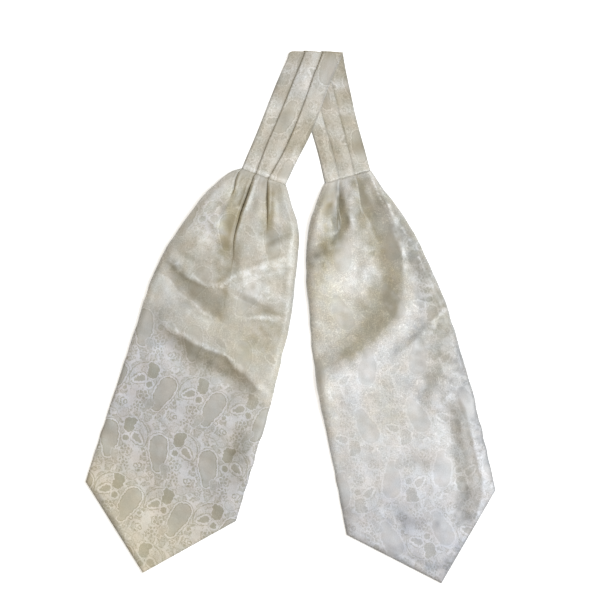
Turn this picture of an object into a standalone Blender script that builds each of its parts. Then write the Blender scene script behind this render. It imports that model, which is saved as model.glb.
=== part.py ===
"""Self-tie silk cravat, laid flat with its neckband folded over at the top.

Five cloth pieces: a front and a back panel for each wide pointed blade, and
one pleated neckband that joins the two blades. The frame is metres, +Z up,
with +Y towards the fold of the neckband. The whole underside lies on z = 0.
Tables are in millimetres. Blade tables are in the blade's own flat frame:
"down" runs from the neckband seam to the point, "across" runs to the right.
"""

import math

import bmesh
import bpy

MM = 0.001

# Cloth
WALL = 1.2 * MM              # a blade panel, silk with its interlining
BAND_WALL = 1.0 * MM         # one layer of the neckband
GAP = 0.3 * MM               # between pieces at a seam, and between folded layers

# Blades: where the seam's middle lies, and how far the blade leans from -Y
LEFT_SEAM = (-28.4 * MM, 149.2 * MM)
LEFT_LEAN = math.radians(-17.6)
RIGHT_SEAM = (60.8 * MM, 148.8 * MM)
RIGHT_LEAN = math.radians(12.3)
POINT_LENGTH = 78.5 * MM     # corner line to the tip
EDGE_ROUND = 14.0 * MM       # how far in from an edge the front panel swells up
EDGE_SHARE = 0.2             # and at most this share of the width
LEAST_LIFT = 0.15            # mm, the lowest that a trough goes over the back panel
PLEAT_STEP = 0.9 * MM        # across a pleat, from its foot to its lip
PLEAT_LIP = 0.12             # how far a lip stands above the panel, as a share
PILLOW = 0.10                # how full the cloth is between two pleats, as a share
PILLOWS_END = 115.0          # mm down from the seam, where it is even again

# A row for each section of a blade. The named pleats are the lines that the
# columns of the panel follow. Crown is the height of the front over the back.
LEFT_COLUMNS = ("down", "tilt", "left", "slit", "groove", "tuck", "right", "crown")
LEFT_SECTIONS = (
    (0.0, -1.3, -25.5, -23.6, -8.7, 5.6, 24.9, 1.6),
    (5.0, -1.0, -33.3, -25.4, -8.7, 7.2, 28.2, 4.0),
    (12.0, -0.5, -39.5, -26.0, -8.7, 9.3, 32.4, 7.0),
    (22.0, 0.0, -46.2, -25.4, -8.9, 12.2, 38.8, 9.5),
    (34.0, 0.2, -52.9, -26.8, -9.4, 15.6, 47.2, 11.0),
    (50.0, 0.5, -59.3, -31.0, -10.0, 20.0, 54.8, 11.5),
    (72.0, 0.8, -66.8, -36.5, -9.2, 25.0, 60.3, 10.5),
    (98.0, 1.2, -74.6, -41.0, -3.4, 29.0, 65.6, 8.5),
    (130.0, 1.6, -80.3, -43.5, 0.0, 32.0, 72.0, 7.0),
    (176.0, 2.2, -81.3, -45.0, 2.5, 34.5, 76.0, 6.0),
    (235.0, 3.0, -81.7, -46.0, 3.8, 36.0, 80.2, 3.6),
    (300.0, 3.7, -82.4, -46.0, 4.5, 37.0, 81.4, 2.2),
    (362.0, 4.3, -82.5, -46.0, 4.7, 37.0, 82.3, 1.4),
)
RIGHT_COLUMNS = ("down", "tilt", "left", "pocket", "valley", "right", "crown")
RIGHT_SECTIONS = (
    (0.0, 1.4, -25.4, -10.3, 6.5, 25.6, 1.6),
    (5.0, 1.2, -29.3, -12.0, 7.2, 27.7, 4.0),
    (12.0, 1.0, -33.9, -13.3, 7.3, 30.2, 7.0),
    (22.0, 0.8, -40.3, -15.2, 7.1, 34.4, 9.5),
    (36.0, 0.6, -48.3, -19.0, 6.9, 41.3, 11.0),
    (55.0, 0.5, -56.0, -23.0, 12.8, 49.4, 11.5),
    (78.0, 0.8, -62.4, -22.0, 17.0, 57.3, 10.5),
    (105.0, 1.2, -67.5, -17.0, 18.8, 63.6, 9.0),
    (137.0, 1.8, -71.4, -11.0, 26.5, 70.3, 7.5),
    (173.0, 2.6, -76.2, -5.0, 31.0, 75.0, 6.0),
    (215.0, 3.6, -79.6, 0.5, 34.0, 78.2, 4.2),
    (262.0, 4.5, -79.9, 3.5, 35.5, 81.2, 2.8),
    (320.0, 5.6, -80.6, 5.0, 36.0, 82.4, 2.0),
    (365.0, 6.4, -81.9, 5.4, 36.0, 82.7, 1.4),
)

# A row for each pleat: where it opens out and how deep it is at the seam, as
# a share of the crown. The pleats of the left blade lap to the left.
PLEAT_COLUMNS = ("name", "opens_at", "depth")
LEFT_PLEATS = (
    ("slit", 34.0, 0.46),
    ("groove", 108.0, 0.56),
    ("tuck", 58.0, 0.52),
)
RIGHT_PLEATS = (
    ("pocket", 64.0, 0.70),
    ("valley", 80.0, 0.30),
)

# A row for each soft fold: its start, middle and end (down, across), half its
# width, and its height, which is negative for a trough.
FOLD_COLUMNS = (
    "down_1", "across_1", "down_2", "across_2", "down_3", "across_3", "half", "height",
)
LEFT_FOLDS = (
    (130.0, -80.0, 153.0, -28.0, 150.0, 24.0, 12.0, -4.4),
    (110.0, -58.0, 124.0, -22.0, 118.0, 8.0, 9.0, 2.0),
    (114.0, 4.0, 96.0, 32.0, 80.0, 58.0, 9.0, 1.8),
    (128.0, 2.0, 134.0, 30.0, 132.0, 64.0, 8.0, -2.0),
    (190.0, -70.0, 208.0, -2.0, 241.0, 80.0, 13.0, -4.4),
    (176.0, -66.0, 194.0, -5.0, 224.0, 72.0, 8.0, 2.0),
    (75.0, 14.0, 60.0, 36.0, 44.0, 56.0, 7.0, -2.2),
    (112.0, 14.0, 100.0, 36.0, 86.0, 62.0, 7.0, -1.4),
    (156.0, 18.0, 147.0, 40.0, 138.0, 64.0, 7.0, 1.2),
)
RIGHT_FOLDS = (
    (14.0, -11.0, 36.0, -15.0, 58.0, -21.0, 6.5, -3.0),
    (4.0, -2.0, 34.0, -4.0, 64.0, -12.0, 6.0, 2.0),
    (20.0, 8.0, 80.0, 16.0, 140.0, 0.0, 15.0, -4.2),
    (132.0, 6.0, 162.0, -28.0, 178.0, -84.0, 14.0, -4.2),
    (-4.0, 25.0, 62.0, 38.0, 128.0, 33.0, 13.0, 3.2),
    (118.0, 35.0, 166.0, 4.0, 202.0, -86.0, 13.0, 3.2),
    (52.0, -24.0, 62.0, -42.0, 73.0, -70.0, 8.0, -2.4),
    (64.0, -16.0, 82.0, -1.0, 102.0, 13.0, 7.0, 1.4),
    (150.0, 62.0, 172.0, 26.0, 194.0, -14.0, 9.0, -2.0),
    (156.0, 76.0, 176.0, 42.0, 200.0, 0.0, 8.0, 1.2),
    (212.0, 46.0, 236.0, 31.0, 256.0, 12.0, 10.0, -1.6),
    (250.0, 54.0, 310.0, 50.0, 376.0, 42.0, 9.0, -1.8),
)

# Neckband. A row for each section: both ends of it, and where its two pleat
# lines show, as shares of its width. The upper stretch runs from the left
# seam to the fold, the lower one from the fold to the right seam.
BAND_COLUMNS = ("left_x", "left_y", "right_x", "right_y", "line_1", "line_2")
UPPER_SECTIONS = (
    (-46.0, 172.4, 2.2, 156.4, 0.31, 0.65),
    (-38.9, 188.8, 11.0, 174.0, 0.29, 0.67),
    (-29.2, 212.8, 21.4, 194.6, 0.29, 0.66),
    (-20.0, 236.6, 32.6, 222.4, 0.30, 0.66),
    (-11.2, 258.7, 42.4, 250.6, 0.31, 0.65),
    (-5.4, 273.0, 50.6, 268.8, 0.31, 0.64),
)
FOLD_SECTION = (-2.2, 279.5, 55.8, 278.3, 0.31, 0.63)
LOWER_SECTIONS = (
    (3.2, 262.0, 59.2, 261.4, 0.32, 0.66),
    (9.6, 238.0, 64.4, 237.4, 0.33, 0.68),
    (16.6, 214.6, 69.4, 214.2, 0.32, 0.67),
    (23.4, 194.0, 74.6, 194.4, 0.31, 0.66),
    (29.6, 172.4, 80.2, 174.4, 0.31, 0.65),
)
SEAM_LINES_LEFT = (0.335, 0.62)
SEAM_LINES_RIGHT = (0.31, 0.635)
PLEAT_DEPTH = 7.0 * MM       # how far the neckband's pleats tuck under
PLEAT_SLOPE = 1.0 * MM       # how soon a strip slopes once it is clear of a pleat
TURNED_AT_FOLD = 0.35        # how much of the pleats' other side shows past the fold
TURNED_BY = 0.35             # share of the lower stretch where it shows whole
LAYER_STEP = BAND_WALL + GAP
LAYERS = tuple(BAND_WALL / 2 + LAYER_STEP * layer for layer in range(3))
BAND_HEIGHT = LAYERS[2] + BAND_WALL / 2
STACK_GAP = 0.6 * MM         # the upper stretch lies this far above the lower one
FOLD_INNER = 0.6 * MM        # inner radius where the neckband turns over
FOLD_CORNER = 9.0 * MM       # the fold's left corner is rounded this much
CORNER_FULLNESS = 0.75
CORNER_REACH = 0.4           # share of a stretch over which that rounding fades
LAP_OUT = 9.0                # mm outside the lower stretch where the upper one lifts
LAP_IN = 10.0                # mm inside it where the upper one is at full height
CROSS_FROM = 168.0           # mm up the part where the two stretches start to cross
CROSS_REACH = 14.0
TURN_FROM = 254.0            # mm up the part where the upper stretch rises to the fold
TURN_REACH = 22.0

# Fineness of the panels and the neckband
FOLD_RUNS = 8                # straight runs in a soft fold's curve
PANEL_ROWS = 46
FIRST_ROW = 2.4              # mm between rows at the seam
ROW_GROWTH = 1.062
BEND_FROM = 0.45             # share of the length where rows start to bend to the point
LEFT_STRIPS = (4, 6, 6, 9)    # columns in each strip between two pleats
RIGHT_STRIPS = (9, 8, 9)
BACK_COLUMNS = 2
BAND_UPPER_STEPS = 15
BAND_FOLD_STEPS = 8
BAND_LOWER_STEPS = 13


def clear_scene():
    for found in list(bpy.data.objects):
        bpy.data.objects.remove(found, do_unlink=True)


def ease(value):
    """Smooth 0 to 1."""
    value = min(max(value, 0.0), 1.0)
    return value * value * (3.0 - 2.0 * value)


def smooth_value(places, values, at):
    """A smooth curve through values at rising places, read at one place."""
    if at <= places[0]:
        return values[0]
    if at >= places[-1]:
        return values[-1]
    right = next(i for i, place in enumerate(places) if place >= at)
    left = right - 1

    def slope(i):
        low = max(i - 1, 0)
        high = min(i + 1, len(places) - 1)
        return (values[high] - values[low]) / (places[high] - places[low])

    span = places[right] - places[left]
    t = (at - places[left]) / span
    start = values[left] * (1 + 2 * t) * (1 - t) ** 2 + slope(left) * span * t * (1 - t) ** 2
    end = values[right] * t * t * (3 - 2 * t) - slope(right) * span * t * t * (1 - t)
    return start + end


def column(names, rows, name):
    index = names.index(name)
    return [row[index] for row in rows]


def bend_point(row, axis, t):
    """One coordinate of a fold's curve, which runs through its middle point."""
    start, middle, end = (row[f"{axis}_{i}"] for i in (1, 2, 3))
    pull = 2 * middle - (start + end) / 2
    return (1 - t) ** 2 * start + 2 * t * (1 - t) * pull + t * t * end


def fold_curves(folds):
    """Each soft fold as its height, half width and the short runs of its curve."""
    result = []
    for fold in folds:
        row = dict(zip(FOLD_COLUMNS, fold))
        marks = [step / FOLD_RUNS for step in range(FOLD_RUNS + 1)]
        spots = [(bend_point(row, "down", t), bend_point(row, "across", t)) for t in marks]
        result.append((row["height"], row["half"], spots))
    return result


def fold_height(curve, down, across):
    """Height of one soft fold at a place, in mm. Both its ends fade out."""
    height, half, spots = curve
    nearest = None
    for run, (start, end) in enumerate(zip(spots, spots[1:])):
        step = (end[0] - start[0], end[1] - start[1])
        reach = (down - start[0], across - start[1])
        t = (reach[0] * step[0] + reach[1] * step[1]) / (step[0] ** 2 + step[1] ** 2)
        t = min(max(t, 0.0), 1.0)
        distance = math.hypot(reach[0] - t * step[0], reach[1] - t * step[1])
        if nearest is None or distance < nearest[0]:
            nearest = (distance, (run + t) / FOLD_RUNS)
    distance, along = nearest
    fade = ease(4 * along + 0.15) * ease(4 * (1 - along) + 0.15)
    return height * fade * math.exp(-((distance / half) ** 2))


class Blade:
    """One wide pointed end of the cravat."""

    def __init__(self, seam, lean, names, sections, pleats, folds, laps_left, columns):
        self.seam = seam
        self.down_axis = (math.sin(lean), -math.cos(lean))
        self.across_axis = (math.cos(lean), math.sin(lean))
        self.tables = {name: column(names, sections, name) for name in names}
        self.places = self.tables["down"]
        self.pleats = [dict(zip(PLEAT_COLUMNS, pleat)) for pleat in pleats]
        self.lines = ["left"] + [pleat["name"] for pleat in self.pleats] + ["right"]
        self.folds = fold_curves(folds)
        self.laps_left = laps_left
        self.columns = columns
        self.corner = self.places[-1]
        left = self.tables["left"][-1]
        width = self.tables["right"][-1] - left
        self.tip_share = (self.tables["groove" if laps_left else "pocket"][-1] - left) / width

    def read(self, name, down):
        return smooth_value(self.places, self.tables[name], down)

    def world(self, down, across, height):
        """A place on the blade, given in mm, in the frame of the part."""
        return (
            self.seam[0] + (self.down_axis[0] * down + self.across_axis[0] * across) * MM,
            self.seam[1] + (self.down_axis[1] * down + self.across_axis[1] * across) * MM,
            height,
        )

    def rows(self):
        """Places of the rows, and how far each one bends towards the point."""
        steps = [FIRST_ROW * ROW_GROWTH ** i for i in range(PANEL_ROWS - 1)]
        scale = self.corner / sum(steps)
        place = 0.0
        result = [(0.0, 0.0)]
        for step in steps:
            place += step * scale
            result.append((place, ease((place / self.corner - BEND_FROM) / (1 - BEND_FROM)) ** 1.5))
        return result

    def point_drop(self, share):
        """How far the pointed end reaches below the corner line, in mm."""
        side = min(share / self.tip_share, (1 - share) / (1 - self.tip_share))
        return POINT_LENGTH / MM * max(side, 0.0)

    def stations(self):
        """The columns of the front: the strip between two pleats, and the place in it."""
        result = []
        for strip, count in enumerate(self.columns):
            for i in range(count):
                result.append((strip, i / (count - 1)))
        return result

    def strip_edges(self, strip, down):
        start = self.read(self.lines[strip], down)
        end = self.read(self.lines[strip + 1], down)
        half_step = PLEAT_STEP / MM / 2
        if strip > 0:
            start += half_step
        if strip < len(self.columns) - 1:
            end -= half_step
        return start, end

    def pleat_heights(self, index, down, crown):
        """Height left and right of a pleat line."""
        pleat = self.pleats[index]
        open_share = 1.0 - ease(down / pleat["opens_at"])
        foot = crown * (1.0 - pleat["depth"] * open_share)
        lip = crown * (1.0 + PLEAT_LIP * open_share)
        return (foot, lip) if self.laps_left else (lip, foot)

    def height(self, strip, t, down, across, to_hem):
        """Height of the front panel over its lowest lie, in mm."""
        crown = self.read("crown", down)
        start = crown if strip == 0 else self.pleat_heights(strip - 1, down, crown)[1]
        last = strip == len(self.columns) - 1
        end = crown if last else self.pleat_heights(strip, down, crown)[0]
        pillow = PILLOW * (1.0 - ease(down / PILLOWS_END))
        body = start + (end - start) * ease(t) + crown * pillow * 4 * t * (1 - t)
        body += sum(fold_height(fold, down, across) for fold in self.folds)
        left = self.read("left", down)
        right = self.read("right", down)
        inset = min(EDGE_ROUND / MM, (right - left) * EDGE_SHARE)
        near = min(across - left, right - across, to_hem) / inset
        near = min(max(near, 0.0), 1.0)
        rim = math.sqrt(1.0 - (1.0 - near) ** 2)
        return max(body, LEAST_LIFT) * rim

    def slant(self, row, share):
        """Where a row truly lies down the blade, and how far the hem is, in mm."""
        down, bend = row
        drop = self.point_drop(share)
        tilt = self.read("tilt", down) * (1 - 2 * share)
        return down + tilt + drop * bend, drop * (1 - bend) + self.corner - down

    def front_grid(self):
        """Middle of the front panel's wall, from the seam to the point."""
        grid = []
        base = WALL + GAP + WALL / 2
        for row in self.rows():
            left = self.read("left", row[0])
            width = self.read("right", row[0]) - left
            line = []
            for strip, t in self.stations():
                start, end = self.strip_edges(strip, row[0])
                across = start + (end - start) * t
                down, to_hem = self.slant(row, (across - left) / width)
                lift = self.height(strip, t, down, across, to_hem)
                line.append(self.world(down, across, base + lift * MM))
            grid.append(line)
        return grid

    def back_grid(self):
        """Middle of the back panel's wall. It lies flat, in the same outline."""
        before = [self.tip_share * i / BACK_COLUMNS for i in range(BACK_COLUMNS)]
        rest = 1.0 - self.tip_share
        shares = before + [self.tip_share + rest * i / BACK_COLUMNS for i in range(BACK_COLUMNS + 1)]
        grid = []
        for row in self.rows():
            left = self.read("left", row[0])
            width = self.read("right", row[0]) - left
            line = []
            for share in shares:
                down = self.slant(row, share)[0]
                line.append(self.world(down, left + width * share, WALL / 2))
            grid.append(line)
        return grid


LEFT_BLADE = Blade(
    LEFT_SEAM, LEFT_LEAN, LEFT_COLUMNS, LEFT_SECTIONS, LEFT_PLEATS, LEFT_FOLDS,
    True, LEFT_STRIPS,
)
RIGHT_BLADE = Blade(
    RIGHT_SEAM, RIGHT_LEAN, RIGHT_COLUMNS, RIGHT_SECTIONS, RIGHT_PLEATS, RIGHT_FOLDS,
    False, RIGHT_STRIPS,
)


def seam_section(blade, lines):
    """The end of the neckband, a gap away from a blade."""
    tilt = blade.tables["tilt"][0]
    back = GAP / MM
    left = blade.world(tilt - back, blade.tables["left"][0] + 0.3, 0.0)
    right = blade.world(-tilt - back, blade.tables["right"][0] - 0.3, 0.0)
    return (left[0] / MM, left[1] / MM, right[0] / MM, right[1] / MM) + lines


def band_profile(width, line_1, line_2, upper):
    """Places and layers of the pleated cloth across the neckband, in metres.

    The cloth runs right, turns back under the next strip, and turns again at
    the lip of that strip. Heights count from the side that faces inwards at
    the fold. The lips of the outer side show on the upper stretch, and those
    of the inner side on the lower stretch.
    """
    shift = 0.0 if upper else -PLEAT_DEPTH
    lip_1 = width * line_1 + shift
    lip_2 = width * line_2 + shift
    turn_1 = lip_1 + PLEAT_DEPTH
    turn_2 = lip_2 + PLEAT_DEPTH
    low, middle, high = LAYERS
    bulge = LAYER_STEP / 2
    low_mid = (low + middle) / 2
    high_mid = (middle + high) / 2
    first_end = low if upper else high
    profile = [
        (0.0, first_end),
        (lip_1 * 0.5, low if upper else (low + high) / 2),
        (lip_1 - PLEAT_SLOPE, low),
        (turn_1, low),
        (turn_1 + bulge, low_mid),
        (turn_1, middle),
        (lip_1, middle),
        (lip_1 - bulge, high_mid),
        (lip_1, high),
        (turn_1 + PLEAT_SLOPE, high),
        (lip_2 - PLEAT_SLOPE, low),
        (turn_2, low),
        (turn_2 + bulge, low_mid),
        (turn_2, middle),
        (lip_2, middle),
        (lip_2 - bulge, high_mid),
        (lip_2, high),
        (turn_2 + PLEAT_SLOPE, high),
        ((turn_2 + width) / 2, (low + high) / 2 if upper else high),
        (width, low if upper else high),
    ]
    return profile


def section_at(places, sections, at):
    """One section between the rows of a table."""
    return [smooth_value(places, [row[i] for row in sections], at) for i in range(len(BAND_COLUMNS))]


def corner_drop(along):
    """How far the rounded left corner of the fold lies below its crest."""
    short = max(FOLD_CORNER - along, 0.0)
    return (FOLD_CORNER - math.sqrt(FOLD_CORNER ** 2 - short ** 2)) * CORNER_FULLNESS


def lower_left_edge(y):
    """Where the lower stretch's left edge lies at one height up the band, in mm."""
    rows = (FOLD_SECTION,) + LOWER_SECTIONS + (seam_section(RIGHT_BLADE, SEAM_LINES_RIGHT),)
    places = [-row[1] for row in rows]
    return smooth_value(places, [row[0] for row in rows], -y)


def lap_lift(x, y):
    """How high the upper stretch lies where it crosses the lower one."""
    inside = x - lower_left_edge(y)
    over = ease((inside + LAP_OUT) / (LAP_OUT + LAP_IN))
    turning = ease((y - TURN_FROM) / TURN_REACH)
    full = BAND_HEIGHT + STACK_GAP
    crossing = full * over * ease((y - CROSS_FROM) / CROSS_REACH)
    at_fold = BAND_HEIGHT + 2 * FOLD_INNER
    return crossing + (at_fold - crossing) * turning


def band_grid():
    """Points of the neckband's cloth, section by section from left seam to right."""
    upper = (seam_section(LEFT_BLADE, SEAM_LINES_LEFT),) + UPPER_SECTIONS + (FOLD_SECTION,)
    lower = (FOLD_SECTION,) + LOWER_SECTIONS + (seam_section(RIGHT_BLADE, SEAM_LINES_RIGHT),)
    upper_places = list(range(len(upper)))
    lower_places = list(range(len(lower)))
    axis_height = BAND_HEIGHT + FOLD_INNER
    stations = []
    for step in range(BAND_UPPER_STEPS):
        stations.append(("upper", step / BAND_UPPER_STEPS))
    for step in range(BAND_FOLD_STEPS + 1):
        stations.append(("fold", step / BAND_FOLD_STEPS))
    for step in range(1, BAND_LOWER_STEPS + 1):
        stations.append(("lower", step / BAND_LOWER_STEPS))

    grid = []
    for part, share in stations:
        if part == "upper":
            row = section_at(upper_places, upper, share * upper_places[-1])
            turned = 0.0
        elif part == "fold":
            row = FOLD_SECTION
            turned = TURNED_AT_FOLD * share
        else:
            row = section_at(lower_places, lower, share * lower_places[-1])
            turned = TURNED_AT_FOLD + (1 - TURNED_AT_FOLD) * ease(share / TURNED_BY)
        start = (row[0] * MM, row[1] * MM)
        end = (row[2] * MM, row[3] * MM)
        width = math.dist(start, end)
        outer = band_profile(width, row[4], row[5], True)
        inner = band_profile(width, row[4], row[5], False)
        near_fold = {
            "upper": ease((share - 1.0 + CORNER_REACH) / CORNER_REACH),
            "fold": 1.0,
            "lower": ease((CORNER_REACH - share) / CORNER_REACH),
        }[part]
        line = []
        for (along_u, layer_u), (along_l, layer_l) in zip(outer, inner):
            along = along_u + (along_l - along_u) * turned
            layer = layer_u + (layer_l - layer_u) * turned
            x = start[0] + (end[0] - start[0]) * along / width
            y = start[1] + (end[1] - start[1]) * along / width
            y -= corner_drop(max(along, 0.0)) * near_fold
            if part == "upper":
                z = lap_lift(x / MM, y / MM) + layer
            elif part == "fold":
                angle = math.pi * share
                radius = FOLD_INNER + layer
                y += radius * math.sin(angle)
                z = axis_height + radius * math.cos(angle)
            else:
                z = BAND_HEIGHT - layer
            line.append((x, y, z))
        grid.append(line)
    return grid


def silk(name, color, roughness):
    material = bpy.data.materials.new(name)
    material.use_nodes = True
    shader = material.node_tree.nodes["Principled BSDF"]
    shader.inputs["Base Color"].default_value = color
    shader.inputs["Roughness"].default_value = roughness
    shader.inputs["Metallic"].default_value = 0.0
    return material


def cloth_piece(name, grid, wall, material, collection):
    """A wall of cloth: an open sheet lofted through a grid of points, thickened."""
    mesh = bpy.data.meshes.new(name)
    sheet = bmesh.new()
    rows = [[sheet.verts.new(point) for point in line] for line in grid]
    for upper_row, lower_row in zip(rows, rows[1:]):
        for i in range(len(upper_row) - 1):
            sheet.faces.new((upper_row[i], lower_row[i], lower_row[i + 1], upper_row[i + 1]))
    sheet.to_mesh(mesh)
    sheet.free()
    mesh.shade_smooth()
    piece = bpy.data.objects.new(name, mesh)
    collection.objects.link(piece)
    mesh.materials.append(material)
    thick = piece.modifiers.new("Wall", "SOLIDIFY")
    thick.thickness = wall
    thick.offset = 0.0
    thick.use_even_offset = True
    return piece


def build():
    clear_scene()
    cravat = bpy.data.collections.new("silk_cravat")
    bpy.context.scene.collection.children.link(cravat)
    for side, blade in (("left", LEFT_BLADE), ("right", RIGHT_BLADE)):
        front = silk(f"{side}_front_silk", (0.74, 0.72, 0.64, 1.0), 0.38)
        back = silk(f"{side}_back_silk", (0.70, 0.68, 0.60, 1.0), 0.45)
        cloth_piece(f"{side}_blade_front", blade.front_grid(), WALL, front, cravat)
        cloth_piece(f"{side}_blade_back", blade.back_grid(), WALL, back, cravat)
    band = silk("neckband_silk", (0.72, 0.70, 0.62, 1.0), 0.40)
    cloth_piece("neckband", band_grid(), BAND_WALL, band, cravat)


build()
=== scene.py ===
"""Looks of the self-tie silk cravat: paisley damask on thin shells of cloth.

Tables are in millimetres. Blade tables are in the blade's own flat frame:
"down" runs from the neckband seam to the point, "across" runs to the right.
"""

import math
from functools import partialmethod

import bpy
import numpy as np
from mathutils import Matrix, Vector


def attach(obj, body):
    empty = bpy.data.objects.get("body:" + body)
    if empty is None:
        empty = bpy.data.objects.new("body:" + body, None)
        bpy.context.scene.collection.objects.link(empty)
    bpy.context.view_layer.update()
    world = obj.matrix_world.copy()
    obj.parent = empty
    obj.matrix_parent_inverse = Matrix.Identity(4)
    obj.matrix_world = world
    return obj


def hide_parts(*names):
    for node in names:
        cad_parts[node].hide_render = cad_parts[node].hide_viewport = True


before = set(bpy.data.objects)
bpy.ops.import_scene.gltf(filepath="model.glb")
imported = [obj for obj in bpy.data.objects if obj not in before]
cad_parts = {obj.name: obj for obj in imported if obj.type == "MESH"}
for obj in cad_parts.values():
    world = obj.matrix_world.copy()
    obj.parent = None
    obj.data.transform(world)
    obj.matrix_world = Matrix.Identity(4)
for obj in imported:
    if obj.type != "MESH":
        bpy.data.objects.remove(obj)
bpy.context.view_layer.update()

MM = 0.001

# Cloth
WALL = 1.2                   # the solids' blade panels, which the shells stand for
GAP = 0.3                    # between a blade's two panels
SHELL = 0.8                  # thickness of a shell of cloth
FRONT_MIDDLE = WALL + GAP + WALL / 2
BACK_MIDDLE = SHELL / 2
EDGE_ROUND = 7.5             # how far in from an edge the front panel swells up
EDGE_SHARE = 0.2             # and at most this share of the width
FULL_EDGE = 0.5              # how much rounder the edge is where the blade is fullest
FULL_AT = 75.0
FULL_REACH = 45.0
GLINT_HEIGHT = 1.6           # a crest as high as this catches the light in full
GLINT_FROM = 0.25            # the share of that at which it starts to
GLINT = 0.7                  # how bright the painted glint on a crest is
RIM_SHADE = 0.6              # painted shade: how much darker the cloth is where it turns down at every edge
RIM_REACH = 3.5
HOLLOW_SHADE = 0.7           # painted shade: how much darker and warmer a hollow lies
HOLLOW_RANGE = (-0.1, 0.8)
HOLLOW_FROM = 0.4            # cloth this far above the crown isn't in a hollow
HOLLOW_INSIDE = 6.0          # how far in from an edge a hollow reaches its full shade
LEAN_SHADE = 1.1             # painted shade: how much darker and warmer cloth that leans from the light is
LEAN_RANGE = (-0.15, 0.7)
LEAN_DOWN = 0.75             # the weight of a lean up or down beside one to the left
LEAN_FROM = 9.0              # how far below the seam that shade is full
HOLLOW_DEPTH = 9.0           # a hollow this deep is as dark and warm as they get
BROAD = 3.0                  # a crest as high as this is a broad fold without crinkles
THIN = 3.0                   # a painted band of sheen or shade narrower than this is broken, as a line of glints is
THIN_TONE_NOISE = (1.7, 0.7, 0.9)   # how unevenly such a painted line is broken: its cells, least and swing
BROAD_TONE_NOISE = (5.0, 0.8, 0.5)  # and a broader band
TONE_NOISE_SEED = 38
EDGE_WAVE = 0.7              # how far small waves move the outline
CALM_REACH = 30.0            # how far from the seam and from the corners they are full
PUCKER = 0.22                # height of the small crinkles along the creases
CRINKLE = 2.0                # how far small crinkles bend the creases
SURE_CREST = 0.85            # the part of a crest's height that isn't uneven
LEAST_LIFT = 0.15            # how far the front swells even in its deepest creases
LIFT_BEND = 2.5              # how sharply it levels out there
ROUND = 2.0                  # the crispness of a round crease
FADE = 30.0                  # how far from its ends a crease fades out
ROLL = 1.1                   # radius of the sewn edge, where the front turns down
ROLL_ANGLES = (0.0, 22.5, 45.0, 67.5)
ROLL_DROP = 0.85             # the share of that radius by which it turns down
BACK_RISE = 0.15             # and by which the back turns up
BACK_INSET = 0.15            # how far in from the front's edge the back's lies
BACK_SHIFT = 18.0            # how far to the side the pattern is cut on the back
SEAM_ROLL = 1.2              # radius of the roll into the neckband's seam
SEAM_DEPTH = 0.1             # how far the neckband turns down at its seams
FRONT_DEPTH = 3.0            # how far at most the front turns down there, to the back
FRONT_LEAST = SHELL * 1.55   # the height it turns down to
NOSE = 0.4                   # how far in a raw edge of a shell is rounded
ALLOWANCE = 9.0              # width of the seam allowance that shows through at the hem
ALLOWANCE_STEP = 0.35
ALLOWANCE_EDGE = 3.0         # over how many mm that step rises
GATHERS_FROM = 10.0          # where the small folds of the gathers start to fade out
GATHERS_REACH = 120.0
GATHERS_WIDTH = 110.0        # width of the cloth that they are spread over

# The kinds of small random relief, and of unevenness in the painted glints and in the
# neckband's painted patches of sheen and shade: height, length and width of a cell, seed.
# The seed of a kind marked + is added to the blade's own.
RIPPLES = {
    "bend_down": (CRINKLE, 15.0, 15.0, 31),
    "bend_across": (CRINKLE, 15.0, 15.0, 32),
    "small_bend": (0.2, 5.0, 5.0, 35),
    "crests": (0.4, 9.0, 9.0, 33),
    "troughs": (0.12, 12.0, 12.0, 34),
    "puckers": (PUCKER, 5.0, 6.0, 37),
    "glints": (0.7, 3.0, 4.0, 36),
    "edge": (1.0, 11.0, 9.0, 39),
    "waves": (0.55, 15.0, 24.0, 0),            # +
    "small_waves": (0.22, 6.0, 9.0, 1),        # +
    "gathers": (1.0, 34.0, 9.0, 2),            # +
    "band_waves": (1.0, 15.0, 13.0, 5),
    "band_patches": (0.3, 14.0, 22.0, 51),
}

# Blades
POINT_LENGTH = 78.5
PLEAT_WIDTH = 1.2            # least width of a pleat's turn, across
PLEAT_COLUMNS_BETWEEN = 7
OVERHANG = 1.5               # how far a lip reaches out over its foot
OVERHANG_FROM = 4.0          # where below the seam it reaches that far
PLEAT_LIP = 0.12             # how far above the crown a lip stands, as a share of it
PILLOW = 0.08                # how far the cloth between two pleats swells, likewise
PILLOWS_END = 115.0
BEND_FROM = 0.45             # the share of the length where rows start to follow the point

LEFT_COLUMNS = ("down", "tilt", "left", "slit", "groove", "tuck", "right", "crown")
LEFT_SECTIONS = (
    (0.0, -1.3, -25.5, -23.6, -8.7, 5.6, 24.9, 1.6),
    (5.0, -1.0, -33.3, -25.4, -8.7, 7.2, 28.2, 4.0),
    (12.0, -0.5, -39.5, -26.0, -8.7, 9.3, 32.4, 7.0),
    (22.0, 0.0, -46.2, -25.4, -8.9, 12.2, 38.8, 9.5),
    (34.0, 0.2, -52.9, -26.8, -9.4, 15.6, 47.2, 11.0),
    (50.0, 0.5, -59.3, -31.0, -10.0, 20.0, 54.8, 11.5),
    (72.0, 0.8, -66.8, -36.5, -9.2, 25.0, 60.3, 10.5),
    (98.0, 1.2, -74.6, -41.0, -3.4, 29.0, 65.6, 8.5),
    (130.0, 1.6, -80.3, -43.5, 0.0, 32.0, 72.0, 7.0),
    (176.0, 2.2, -81.3, -45.0, 2.5, 34.5, 76.0, 6.0),
    (235.0, 3.0, -81.7, -46.0, 3.8, 36.0, 80.2, 3.6),
    (300.0, 3.7, -82.4, -46.0, 4.5, 37.0, 81.4, 2.2),
    (362.0, 4.3, -82.5, -46.0, 4.7, 37.0, 82.3, 1.4),
)
RIGHT_COLUMNS = ("down", "tilt", "left", "pocket", "valley", "right", "crown")
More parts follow.
